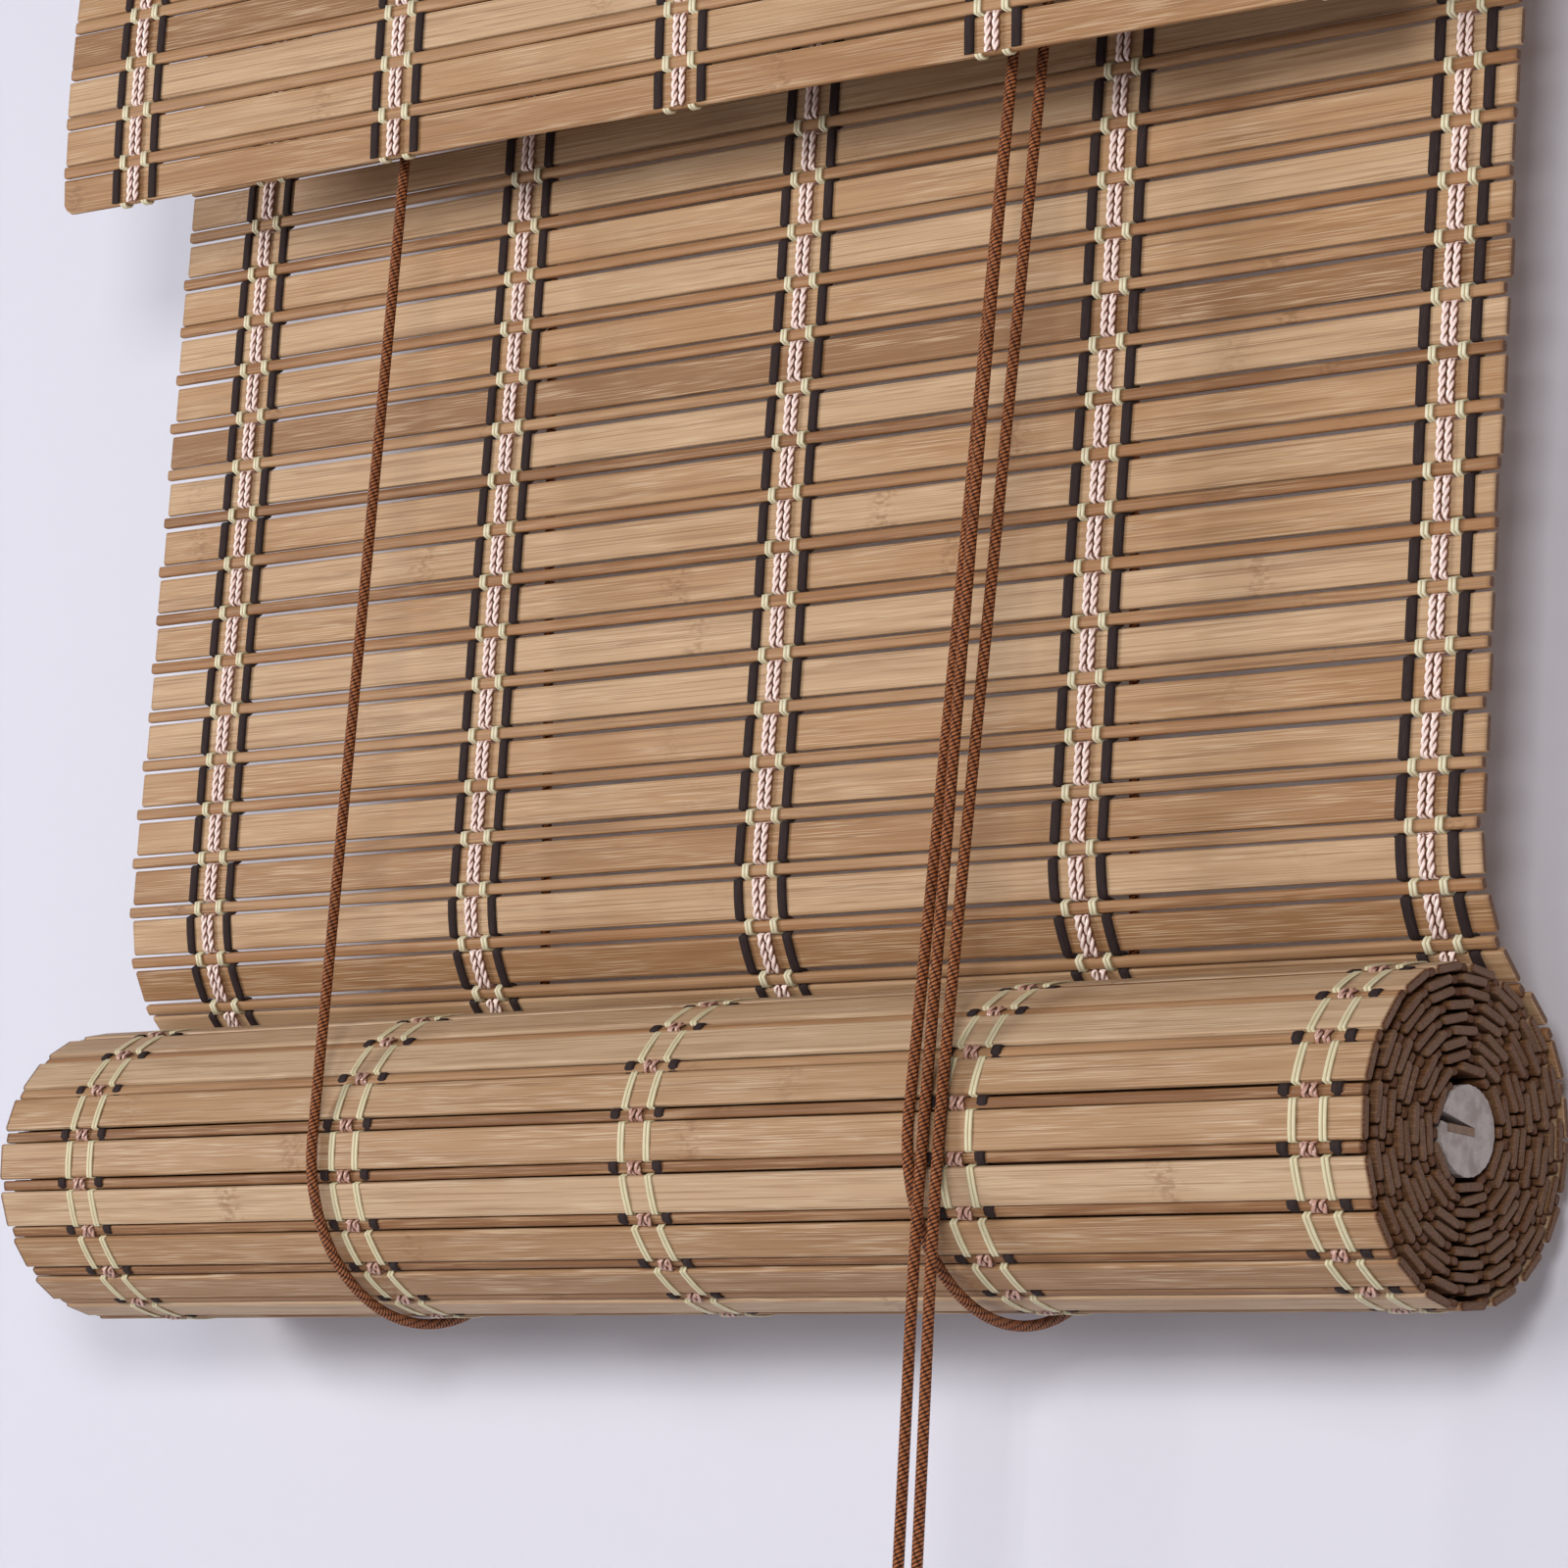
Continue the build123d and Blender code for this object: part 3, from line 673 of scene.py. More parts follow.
class Graph:
    """Adds linked nodes to a node tree."""

    def __init__(self, tree: bpy.types.NodeTree) -> None:
        """Keeps the tree that the nodes go into."""
        self.tree = tree

    def feed(self, socket: Socket, value: Value) -> None:
        """Links a socket to an output, or sets its value.

        Args:
            socket: Input socket.
            value: Output socket or plain value.
        """
        if isinstance(value, Socket):
            self.tree.links.new(value, socket)
        else:
            socket.default_value = value

    def add(self, kind: str, inputs: Mapping[Union[str, int], Value],
            **settings: object) -> bpy.types.Node:
        """Adds a node.

        Args:
            kind: Node type.
            inputs: Values or outputs by input socket.
            settings: The node's own settings.

        Returns:
            The node.
        """
        node = self.tree.nodes.new(kind)
        for key, value in settings.items():
            setattr(node, key, value)
        for key, value in inputs.items():
            self.feed(node.inputs[key], value)
        return node

    def math(self, operation: str, *values: Value) -> Socket:
        """Adds a Math node and gives its result."""
        return self.add("ShaderNodeMath", dict(enumerate(values)), operation=operation).outputs[0]

    def times(self, first: Value, second: Value) -> Socket:
        """Multiplies two numbers."""
        return self.math("MULTIPLY", first, second)

    def ease(self, value: Value, low: Value, high: Value) -> Socket:
        """Maps a number from low to high onto 0 to 1 with eased ends."""
        inputs = {"Value": value, "From Min": low, "From Max": high}
        return self.add("ShaderNodeMapRange", inputs, interpolation_type="SMOOTHSTEP").outputs[0]

    def mix(self, share: Value, first: Value, second: Value) -> Socket:
        """Mixes two colours by the share of the second."""
        return self.add("ShaderNodeMix", {0: share, 6: first, 7: second}, data_type="RGBA").outputs[2]

    def noise(self, vector: Value, scale: Point, detail: float) -> Socket:
        """Gives noise about 0.5, with its own cells per metre on each axis."""
        place = self.add("ShaderNodeVectorMath", {0: vector, 1: scale}, operation="MULTIPLY").outputs[0]
        return self.add(
            "ShaderNodeTexNoise", {"Vector": place, "Scale": 1.0, "Detail": detail}).outputs[0]

    def attribute(self, name: str, output: str) -> Socket:
        """Gives an output, Vector or Fac, of a piece's attribute."""
        return self.add("ShaderNodeAttribute", {}, attribute_name=name).outputs[output]

    def place(self) -> Socket:
        """Gives a piece's own coordinates."""
        return self.add("ShaderNodeTexCoord", {}).outputs["Object"]


def opaque(colour: Colour) -> tuple[float, float, float, float]:
    """Adds an alpha of 1 to a linear colour."""
    return (*colour, 1.0)


FLOAT, VECTOR, COLOUR = "NodeSocketFloat", "NodeSocketVector", "NodeSocketColor"
BASE, HEIGHT = "Base Color", "Height"


class Effect:
    """A shader node group with named sockets, made once and used by several materials."""

    def __init__(self, name: str, inputs: Mapping[str, str]) -> None:
        """Makes a group without outputs.

        Args:
            name: Group's name.
            inputs: Socket types by input name.
        """
        self.tree = bpy.data.node_groups.new(name, "ShaderNodeTree")
        for key, kind in inputs.items():
            self.tree.interface.new_socket(name=key, in_out="INPUT", socket_type=kind)
        self.graph = Graph(self.tree)
        self.given = self.tree.nodes.new("NodeGroupInput").outputs

    def give(self, outputs: Mapping[str, Value]) -> None:
        """Makes and links the group's outputs: the base colour is a colour, the others are numbers.

        Args:
            outputs: Values by output name.
        """
        for key in outputs:
            kind = COLOUR if key == BASE else FLOAT
            self.tree.interface.new_socket(name=key, in_out="OUTPUT", socket_type=kind)
        result = self.tree.nodes.new("NodeGroupOutput").inputs
        for key, value in outputs.items():
            self.graph.feed(result[key], value)


def bamboo_effect() -> Effect:
    """Split bamboo: long fine fibres, slow drifts of tone, mottled rings at the knots, sawn ends.

    Short bright dashes are painted highlight, and the sawn ends' colour also serves as painted shade on
    the roll.

    Returns:
        The group.
    """
    inputs = {
        "Grain": VECTOR, "Tone": FLOAT, "Knots": VECTOR, "SawnEndAndShade": FLOAT, "Glint": COLOUR,
        "Pale": COLOUR, "Warm": COLOUR, "Deep": COLOUR, "End": COLOUR}
    effect = Effect("BambooGrain", inputs)
    graph, given = effect.graph, effect.given
    fibre = graph.noise(given["Grain"], (9.0, 2300.0, 900.0), 3.0)
    streak = graph.noise(given["Grain"], (16.0, 520.0, 400.0), 2.0)
    drift = graph.noise(given["Grain"], (13.0, 70.0, 70.0), 2.0)
    warmth = graph.math("ADD", graph.times(drift, 1.3), graph.math("SUBTRACT", given["Tone"], 0.65))
    colour = graph.mix(graph.ease(warmth, 0.0, 1.0), given["Pale"], given["Warm"])
    # A tone above 0.85 darkens a bar towards the deep colour: a random stain, and on the roll's sticks
    # painted shade.
    stain_and_shade = graph.times(graph.ease(given["Tone"], 0.85, 1.6), 0.7)
    colour = graph.mix(stain_and_shade, colour, given["Deep"])
    colour = graph.mix(graph.times(graph.ease(streak, 0.5, 0.75), 0.45), colour, given["Deep"])
    colour = graph.mix(graph.times(graph.ease(fibre, 0.48, 0.72), 0.65), colour, given["Deep"])
    colour = graph.mix(graph.times(graph.ease(fibre, 0.46, 0.26), 0.6), colour, given["Pale"])
    # Painted highlight: short bright dashes where fibres catch the light.
    dash = graph.noise(given["Grain"], (48.0, 2700.0, 900.0), 1.0)
    patch = graph.noise(given["Grain"], (22.0, 160.0, 160.0), 1.0)
    shine = graph.times(graph.ease(dash, 0.5, 0.64), graph.ease(patch, 0.3, 0.6))
    colour = graph.mix(graph.times(shine, 0.5), colour, given["Glint"])
    place = graph.add("ShaderNodeSeparateXYZ", {0: given["Grain"]}).outputs
    knot = graph.add("ShaderNodeSeparateXYZ", {0: given["Knots"]}).outputs
    first = graph.math("ABSOLUTE", graph.math("SUBTRACT", place[0], knot[0]))
    second = graph.math("ABSOLUTE", graph.math("SUBTRACT", place[0], knot[1]))
    ragged = graph.times(graph.noise(given["Grain"], (160.0, 700.0, 300.0), 2.0), 0.012)
    reach = graph.math("ADD", graph.math("MINIMUM", first, second), ragged)
    ring = graph.times(graph.ease(reach, 0.013, 0.006), knot[2])
    speck = graph.ease(graph.noise(given["Grain"], (420.0, 900.0, 400.0), 2.0), 0.42, 0.62)
    colour = graph.mix(graph.times(graph.times(ring, speck), 0.6), colour, given["Deep"])
    pores = graph.ease(graph.noise(given["Grain"], (300.0, 2600.0, 2600.0), 2.0), 0.4, 0.8)
    # Mixes in the dark sawn-end colour: the ends' own colour, and painted shade on the roll.
    colour = graph.mix(given["SawnEndAndShade"], colour, graph.mix(pores, given["End"], given["Deep"]))
    effect.give({BASE: colour, HEIGHT: graph.math("SUBTRACT", fibre, graph.times(ring, 0.4))})
    return effect


def strand_effect() -> Effect:
    """Spun thread or plaited cord: fibres along it, and painted shade in the crevices between plies that
    wind round it.

    A crevice lies where half the plies times the angle round the cord, plus the angle of the
    lay, has a cosine of 0, and is darkened as painted shade. A slower second family winds the
    other way and parts the plies into beads. With no plies there is no crevice. A thread can also
    get painted shade along its two edges, where its place through the depth is near 0, and a
    painted highlight along its crest.

    Returns:
        The group.
    """
    inputs = {
        "Strand": VECTOR, "Lay": FLOAT, "Plies": FLOAT, "Depth": FLOAT, "Edge": FLOAT, "Base": COLOUR,
        "Crevice": COLOUR, "Glint": COLOUR}
    effect = Effect("SpunStrand", inputs)
    graph, given = effect.graph, effect.given
    fibre = graph.noise(given["Strand"], (300.0, 5200.0, 5200.0), 2.0)
    patch = graph.noise(given["Strand"], (90.0, 300.0, 300.0), 1.0)
    place = graph.add("ShaderNodeSeparateXYZ", {0: given["Strand"]}).outputs
    angle = graph.math("ARCTAN2", place[2], place[1])
    turn = graph.math("DIVIDE", graph.times(place[0], 2 * math.pi), given["Lay"])
    half = graph.times(given["Plies"], 0.5)
    wound = graph.times(graph.math("ADD", angle, turn), half)
    crossed = graph.times(graph.math("SUBTRACT", angle, graph.times(turn, 0.25)), half)
    parted = graph.math("ABSOLUTE", graph.math("COSINE", crossed))
    parted = graph.math("ADD", graph.times(parted, 0.6), 0.4)
    ridge = graph.times(graph.math("ABSOLUTE", graph.math("COSINE", wound)), parted)
    # Painted highlight along the crest, and painted shade along the two edges.
    crest = graph.math("DIVIDE", graph.math("ABSOLUTE", place[2]), given["Depth"])
    bright = graph.times(graph.ease(crest, 0.55, 0.9), given["Edge"])
    shine = graph.math("ADD", graph.times(graph.ease(fibre, 0.45, 0.75), 0.5), bright)
    colour = graph.mix(graph.math("MINIMUM", shine, 1.0), given["Base"], given["Glint"])
    colour = graph.mix(graph.times(graph.ease(patch, 0.5, 0.8), 0.25), colour, given["Crevice"])
    rim = graph.times(graph.ease(crest, 0.6, 0.1), given["Edge"])
    # Painted shade in the crevices between plies and along the edges.
    groove = graph.math("MAXIMUM", graph.ease(ridge, 0.7, 0.25), rim)
    colour = graph.mix(groove, colour, given["Crevice"])
    effect.give({BASE: colour, HEIGHT: graph.math("ADD", ridge, graph.times(fibre, 0.3))})
    return effect


def timber_effect() -> Effect:
    """Sawn or turned wood: growth rings stretched along X, pores and slow blotches.

    Returns:
        The group.
    """
    effect = Effect("TimberGrain", {"Place": VECTOR, "Pale": COLOUR, "Dark": COLOUR})
    graph, given = effect.graph, effect.given
    ring = graph.noise(given["Place"], (4.0, 190.0, 190.0), 2.0)
    pore = graph.noise(given["Place"], (60.0, 1900.0, 1900.0), 2.0)
    blotch = graph.noise(given["Place"], (30.0, 90.0, 90.0), 2.0)
    colour = graph.mix(graph.ease(ring, 0.35, 0.7), given["Pale"], given["Dark"])
    colour = graph.mix(graph.times(graph.ease(pore, 0.5, 0.72), 0.55), colour, given["Dark"])
    colour = graph.mix(graph.times(graph.ease(blotch, 0.55, 0.3), 0.4), colour, given["Pale"])
    effect.give({BASE: colour, HEIGHT: graph.times(pore, -1.0)})
    return effect


def handled_effect() -> Effect:
    """Metal or plastic: fine scratches and a little grime.

    Returns:
        The group.
    """
    effect = Effect("HandledSurface", {"Place": VECTOR, "Base": COLOUR, "Grime": COLOUR})
    graph, given = effect.graph, effect.given
    scratch = graph.noise(given["Place"], (3000.0, 260.0, 260.0), 2.0)
    smudge = graph.noise(given["Place"], (150.0, 150.0, 150.0), 3.0)
    colour = graph.mix(graph.times(graph.ease(smudge, 0.5, 0.8), 0.45), given["Base"], given["Grime"])
    rough = graph.math("ADD", graph.times(smudge, 0.3), graph.times(scratch, 0.2))
    effect.give({BASE: colour, "Roughness": graph.math("ADD", rough, 0.12), HEIGHT: scratch})
    return effect


def start_material(name: str) -> tuple[Material, Graph, bpy.types.Node]:
    """Starts a node material.

    Args:
        name: Material's name.

    Returns:
        The material, its graph and its Principled shader.
    """
    material = bpy.data.materials.new(name)
    material.use_nodes = True
    shader = next(node for node in material.node_tree.nodes if node.type == "BSDF_PRINCIPLED")
    return material, Graph(material.node_tree), shader


class Finish:
    """A surface finish, which makes one material with a shared effect.

    Attributes:
        name: Material's name.
        relief: Depth of the bump in metres.
    """

    name: str
    relief: float

    def inputs(self, graph: Graph) -> dict[str, Value]:
        """Gives what the finish feeds to its effect."""
        raise NotImplementedError

    def values(self) -> dict[str, float]:
        """Gives the values of the shader's own sockets."""
        raise NotImplementedError

    def material(self, effect: Effect) -> Material:
        """Makes the material. The effect's outputs go to the shader's sockets of the same names.

        Args:
            effect: Shared effect of this kind of finish.

        Returns:
            The material.
        """
        material, graph, shader = start_material(self.name)
        surface = graph.add("ShaderNodeGroup", self.inputs(graph), node_tree=effect.tree).outputs
        for output in surface:
            if output.name != HEIGHT:
                graph.feed(shader.inputs[output.name], output)
        for key, value in self.values().items():
            shader.inputs[key].default_value = value
        relief = {"Height": surface[HEIGHT], "Distance": self.relief, "Strength": 0.7}
        graph.feed(shader.inputs["Normal"], graph.add("ShaderNodeBump", relief).outputs[0])
        return material


@dataclass(frozen=True)
class BambooFinish(Finish):
    """Split bamboo with darker sawn ends.

    Attributes:
        glint: Painted highlight: short bright dashes where fibres catch the light.
        pale: Pale fibres.
        warm: Warm fibres.
        deep: Dark fibres and knots.
        end: Sawn end, and also the colour of painted shade on the roll's hidden bars and end crevices.
    """

    name: str
    glint: Colour
    pale: Colour
    warm: Colour
    deep: Colour
    end: Colour = (0.068, 0.020, 0.0055)
    relief: float = 0.00012

    def inputs(self, graph: Graph) -> dict[str, Value]:
        """Gives the bars' attributes and the colours."""
        return {
            "Grain": graph.attribute("grain", "Vector"), "Tone": graph.attribute("tone", "Fac"),
            "Knots": graph.attribute("knots", "Vector"), "SawnEndAndShade": graph.attribute("sawn_end_and_shade", "Fac"),
            "Glint": opaque(self.glint), "Pale": opaque(self.pale), "Warm": opaque(self.warm),
            "Deep": opaque(self.deep), "End": opaque(self.end)}

    def values(self) -> dict[str, float]:
        """Gives a satin surface."""
        return {"Roughness": 0.55, "Specular IOR Level": 0.22}


@dataclass(frozen=True)
class StrandFinish(Finish):
    """Thread or cord.

    Attributes:
        base: Main colour.
        crevice: Colour of painted shade between strands and plies, and of darker blotches.
        glint: Colour of the painted highlight on catching fibres and along the crest.
        roughness: Shader's roughness.
        specular: Shader's specular level.
        depth: Half thickness of the thread.
        edge: How strongly painted shade darkens its two edges and a painted highlight brightens its
            crest.
        plies: Number of plies that show in one turn, or 0.
        lay: Length of one turn of the plies, negative where they wind the other way.
    """

    name: str
    base: Colour
    crevice: Colour
    glint: Colour
    roughness: float
    specular: float
    depth: float = 0.0005
    edge: float = 0.0
    plies: float = 0.0
    lay: float = 0.007
    relief: float = 0.0001

    def inputs(self, graph: Graph) -> dict[str, Value]:
        """Gives the strand's attribute, its winding and the colours."""
        return {
            "Strand": graph.attribute("strand", "Vector"), "Lay": self.lay, "Plies": self.plies,
            "Depth": self.depth, "Edge": self.edge, "Base": opaque(self.base),
            "Crevice": opaque(self.crevice), "Glint": opaque(self.glint)}

    def values(self) -> dict[str, float]:
        """Gives the strand's shine."""
        return {"Roughness": self.roughness, "Specular IOR Level": self.specular}


@dataclass(frozen=True)
class TimberFinish(Finish):
    """Plain wood.

    Attributes:
        pale: Pale wood.
        dark: Dark rings and pores.
        roughness: Shader's roughness.
        coat: Shader's coat weight.
    """

    name: str
    pale: Colour
    dark: Colour
    roughness: float
    coat: float
    relief: float = 0.0003

    def inputs(self, graph: Graph) -> dict[str, Value]:
        """Gives the place and the colours."""
        return {"Place": graph.place(), "Pale": opaque(self.pale), "Dark": opaque(self.dark)}

    def values(self) -> dict[str, float]:
        """Gives the wood's shine."""
        return {"Roughness": self.roughness, "Coat Weight": self.coat}


@dataclass(frozen=True)
class HandledFinish(Finish):
    """Metal or plastic.

    Attributes:
        base: Clean colour.
        grime: Soiled colour.
        metallic: Shader's metallic value.
    """

    name: str
    base: Colour
    grime: Colour
    metallic: float
    relief: float = 0.00004

    def inputs(self, graph: Graph) -> dict[str, Value]:
        """Gives the place and the colours."""
        return {"Place": graph.place(), "Base": opaque(self.base), "Grime": opaque(self.grime)}

    def values(self) -> dict[str, float]:
        """Gives metal or not."""
        return {"Metallic": self.metallic}


# Bar finishes list their painted glint highlight, then their pale, warm and deep colours.
SLAT_DEEP = (0.21, 0.098, 0.041)
BAR_FINISHES = (
    BambooFinish(
        "bamboo_slat", (0.62, 0.45, 0.29), (0.49, 0.32, 0.184), (0.37, 0.198, 0.088), SLAT_DEEP),
    BambooFinish(
        "bamboo_back", (0.64, 0.49, 0.34), (0.49, 0.335, 0.205), (0.37, 0.215, 0.108), SLAT_DEEP),
    BambooFinish(
        "bamboo_stick", (0.48, 0.31, 0.175), (0.39, 0.222, 0.112), (0.32, 0.156, 0.066),
        (0.17, 0.073, 0.03)),
)
FINISHES = {
    # Strand finishes list base colour, painted crevice shade and painted glint highlight, then roughness
    # and specular level.
    Slot.THREAD_DARK: StrandFinish(
        "thread_dark", (0.026, 0.016, 0.0155), (0.012, 0.007, 0.007), (0.07, 0.047, 0.043), 0.8, 0.15),
    Slot.THREAD_CREAM: StrandFinish(
        "thread_cream", (0.62, 0.55, 0.35), (0.36, 0.27, 0.13), (0.84, 0.79, 0.60), 0.5, 0.35,
        depth=0.00045, edge=0.45),
    Slot.THREAD_PINK: StrandFinish(
        "thread_pink", (0.50, 0.27, 0.20), (0.15, 0.05, 0.028), (0.92, 0.76, 0.70), 0.28, 0.6,
        depth=0.0005, edge=0.9),
    Slot.CORD: StrandFinish(
        "cord", (0.36, 0.115, 0.038), (0.03, 0.007, 0.003), (0.58, 0.28, 0.13), 0.55, 0.2,
        plies=4.0, lay=-0.0046, relief=0.0006),
    Slot.BAMBOO: TimberFinish("bamboo_core", (0.22, 0.125, 0.075), (0.13, 0.07, 0.04), 0.7, 0.0),
    Slot.CORE: TimberFinish("core_wood", (0.42, 0.365, 0.335), (0.28, 0.225, 0.195), 0.85, 0.0),
    Slot.RAIL: TimberFinish("rail_wood", (0.62, 0.46, 0.29), (0.42, 0.27, 0.14), 0.6, 0.0),
    Slot.PULL: TimberFinish("pull_wood", (0.46, 0.25, 0.11), (0.26, 0.12, 0.045), 0.4, 0.5),
    Slot.STEEL: HandledFinish("plated_steel", (0.62, 0.61, 0.58), (0.38, 0.36, 0.32), 1.0),
    Slot.WHEEL: HandledFinish("wheel_plastic", (0.72, 0.70, 0.64), (0.50, 0.46, 0.38), 0.0),
    Slot.JAM: HandledFinish("jam_brass", (0.72, 0.52, 0.22), (0.40, 0.26, 0.10), 1.0),
}


@dataclass
class Palette:
    """All finishes of the blind.

    Attributes:
        slat: Front of the slats.
        back: Back of the slats, outside on the roll.
        stick: Sticks.
        slots: Finishes by the record's material slot.
    """

    slat: Material
    back: Material
    stick: Material
    slots: Mapping[Slot, Material]

    @classmethod
    def make(cls) -> "Palette":
        """Makes the shared effects and all materials.

        Returns:
            The palette.
        """
        effects = {
            BambooFinish: bamboo_effect(), StrandFinish: strand_effect(),
            TimberFinish: timber_effect(), HandledFinish: handled_effect()}
        slots = {key: finish.material(effects[type(finish)]) for key, finish in FINISHES.items()}
        bars = [finish.material(effects[BambooFinish]) for finish in BAR_FINISHES]
        return cls(*bars, slots)


def cover(piece: Piece, material: Material) -> None:
    """Gives a piece one material and reports it.

    Args:
        piece: Piece.
        material: Material.
    """
    piece.data.materials.clear()
    piece.data.materials.append(material)
    LOG.info("%s: %s", piece.name, material.name)


def dress(piece: Piece, material: Material) -> None:
    """Gives a new piece its material."""
    cover(piece, material)


def follow_lift(piece: Piece) -> None:
    """Attaches a piece to the root body and gives it a mesh of its own."""
    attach(piece, "root")
    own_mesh(piece)


THREADS = (
    ("dark", DARK_STRANDS, Slot.THREAD_DARK),
    ("cream", CREAM_STRANDS, Slot.THREAD_CREAM),
    ("pink", PINK_STRANDS, Slot.THREAD_PINK),
)


@dataclass
class Mats:
    """The hanging mat, the foot that turns it to the roll, the valance and the roll.

    Attributes:
        mat_top: Z of the hanging mat's top.
        straight: Length of the hanging mat that shortens as the roll climbs.
        whole: Length of the hanging mat with its foot.
        plumb: Length of line above the bend to the roll.
        bend: Length and angle of the first of the bend's two arcs; the second turns back.
        valance_y: Y of the valance's top.
        valance_top: Z of the valance's top.
        valance_length: Where the valance's threads end, from its top.
        lean: Length and turn of the valance's three stretches, which lean out and curl back.
        thread_start: Length of a hanging mat above its threads.
        outer_turn: Length of the roll's mat that is open to view and has threads.
    """

    mat_top: float = -0.0218
    straight: float = 0.345
    whole: float = 0.435
    plumb: float = 0.3417848
    bend: tuple[float, float] = (0.0466076, 1.015503)
    valance_y: float = -0.0356
    valance_top: float = -0.0032
    valance_length: float = 0.160
    lean: tuple[tuple[float, float], ...] = (
        (0.0183, 0.0), (0.063855, -math.radians(4.0)), (0.078045, math.radians(9.0)))
    thread_start: float = 0.0025
    outer_turn: float = 0.285

    def mats(self) -> tuple[WovenMat, ...]:
        """Describes the mats.

        Returns:
            The hanging mat, its foot, the valance, and the roll, which is wound with its back out.
        """
        back = (self.bend[0], -self.bend[1])
        drop = HangingLay(ROLL_Y, self.mat_top, ((self.plumb, 0.0), self.bend, back))
        front = HangingLay(self.valance_y, self.valance_top, self.lean)
        wound = RolledLay(ROLL_Y, ROLL_Z, outer=0.0424, pitch=0.0031105, turns=9.7)
        front_sizes = MatSizes(
            10, closing_slat=True, slat_width=0.0106, stick_width=0.0036, stick_slide=0.0006,
            ragged=0.0001, length=0.487, shift=0.001, slope=0.0115, corner=0.004)
        # On the roll the end colour at the bars' tips and on hidden bars is painted shade, and the
        # sticks' higher tone is painted shade between the pressed slats.
        wound_sizes = MatSizes(
            119, row_pitch=0.014, slat_width=0.0102, slat_thickness=0.0022, stick_width=0.0029,
            stick_thickness=0.0021, stick_rise=0.0003, overhang=-0.0008, stick_slide=0.0,
            ragged=0.0002, soil_and_shade=1.0, open_length=self.outer_turn, stick_tone_and_shade=1.15, slope=ROLL_SLOPE)
        return (
            WovenMat("hanging", drop, MatSizes(23), (self.thread_start, self.straight), seed=11),
            WovenMat(
                "turning", drop, MatSizes(6, first_row=23), (self.straight, self.whole), seed=13),
            WovenMat(
                "valance", front, front_sizes, (self.thread_start, self.valance_length), seed=23),
            WovenMat(
                "rolled", wound, wound_sizes, (0.0, self.outer_turn), seed=37, firmness=0.7,
                pressed=0.6))

    def build(self, palette: Palette) -> None:
        """Builds all pieces, dresses them and lets them ride.

        Args:
            palette: Materials.
        """
        bodies = {"turning": "sling", "valance": "root", "rolled": "roll"}
        for mat in self.mats():
            slats = mat.build_bars(BarKind.SLAT)
            sticks = mat.build_bars(BarKind.STICK)
            dress(slats, palette.back if mat.name == "rolled" else palette.slat)
            dress(sticks, palette.stick)
            if mat.name != "turning":
                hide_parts(f"{mat.name}_mat")
            pieces = [slats, sticks]
            for label, strands, slot in THREADS:
                threads = mat.build_threads(label, strands)
                dress(threads, palette.slots[slot])
                if mat.name in ("hanging", "valance"):
                    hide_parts(f"{mat.name}_threads_{label}")
                pieces.append(threads)
            if mat.name == "valance":
                hems = mat.build_hems(CREAM_STRANDS)
                dress(hems, palette.slots[Slot.THREAD_CREAM])
                pieces.append(hems)
            for piece in pieces:
                if mat.name == "hanging":
                    follow_lift(piece)
                else:
                    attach(piece, bodies[mat.name])


@dataclass
class Core:
    """The raw dowel inside the roll and the slat end held in its kerf.

    Attributes:
        radius: Radius of the dowel.
        rough: How far its surface is hewn in.
        short: How much shorter the dowel is than the slat.
        kerf: Z of the kerf's lower side and of its upper side at its bottom.
        kerf_rim: Z of the kerf's upper side at the rim.
        kerf_floor: Y of the kerf's bottom.
        slat_ends: Y of the slat's two edges.
        slat_fit: Share of the kerf's height that the slat fills.
    """

    radius: float = 0.0114
    rough: float = 0.0003
    short: float = 0.0006
    kerf: tuple[float, float] = (-0.0012, 0.0010)
    kerf_rim: float = 0.0036
    kerf_floor: float = 0.0026
    slat_ends: tuple[float, float] = (-0.0085, 0.0024)
    slat_fit: float = 0.9

    def prism(self, name: str, y: Array, z: Array, length: float) -> Piece:
        """Builds an outline carried straight along X, as aslope as the roll is.

        Args:
            name: Name of the piece.
            y: Y of the outline from the axis, counter-clockwise seen from +X.
            z: Z of the outline from the axis.
            length: Length along X.

        Returns:
            The piece.
        """
        x = np.array((-0.5, 0.5))[None, :, None] * length
        shape = (1, 2, len(y))
        points = np.stack((
            np.broadcast_to(x, shape), np.broadcast_to(ROLL_Y + y, shape),
            ROLL_Z + z - ROLL_SLOPE * x), axis=-1)
        faces = strip_faces(1, 2, len(y), False)
        return make_piece(name, with_caps(points), faces, False, {})

    def build(self, palette: Palette) -> None:
        """Builds the rough-hewn dowel with its wedge-shaped kerf, and the slat end in it.

        Args:
            palette: Materials.
        """
        rng = np.random.default_rng(5)
        low, high = self.kerf
        start = math.asin(low / self.radius) - math.pi
        angle = np.linspace(start, math.pi - math.asin(self.kerf_rim / self.radius), 72)
        hewn = self.radius - rng.uniform(0.0, self.rough, len(angle))
        outline_y = np.concatenate((hewn * np.cos(angle), (self.kerf_floor, self.kerf_floor)))
        outline_z = np.concatenate((hewn * np.sin(angle), (high, low)))
        dowel = self.prism("roll_dowel", outline_y, outline_z, MAT_LENGTH - self.short)
        outer, inner = self.slat_ends
        slat_y = np.array((outer, inner, inner, outer))
        slat_z = np.array((low, low, high, high)) * self.slat_fit
        slat = self.prism("kerf_slat", slat_y, slat_z, MAT_LENGTH)
        for piece, node, slot in ((dowel, "core_dowel", Slot.CORE), (slat, "core_slat", Slot.BAMBOO)):
            dress(piece, palette.slots[slot])
            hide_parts(node)
            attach(piece, "roll")


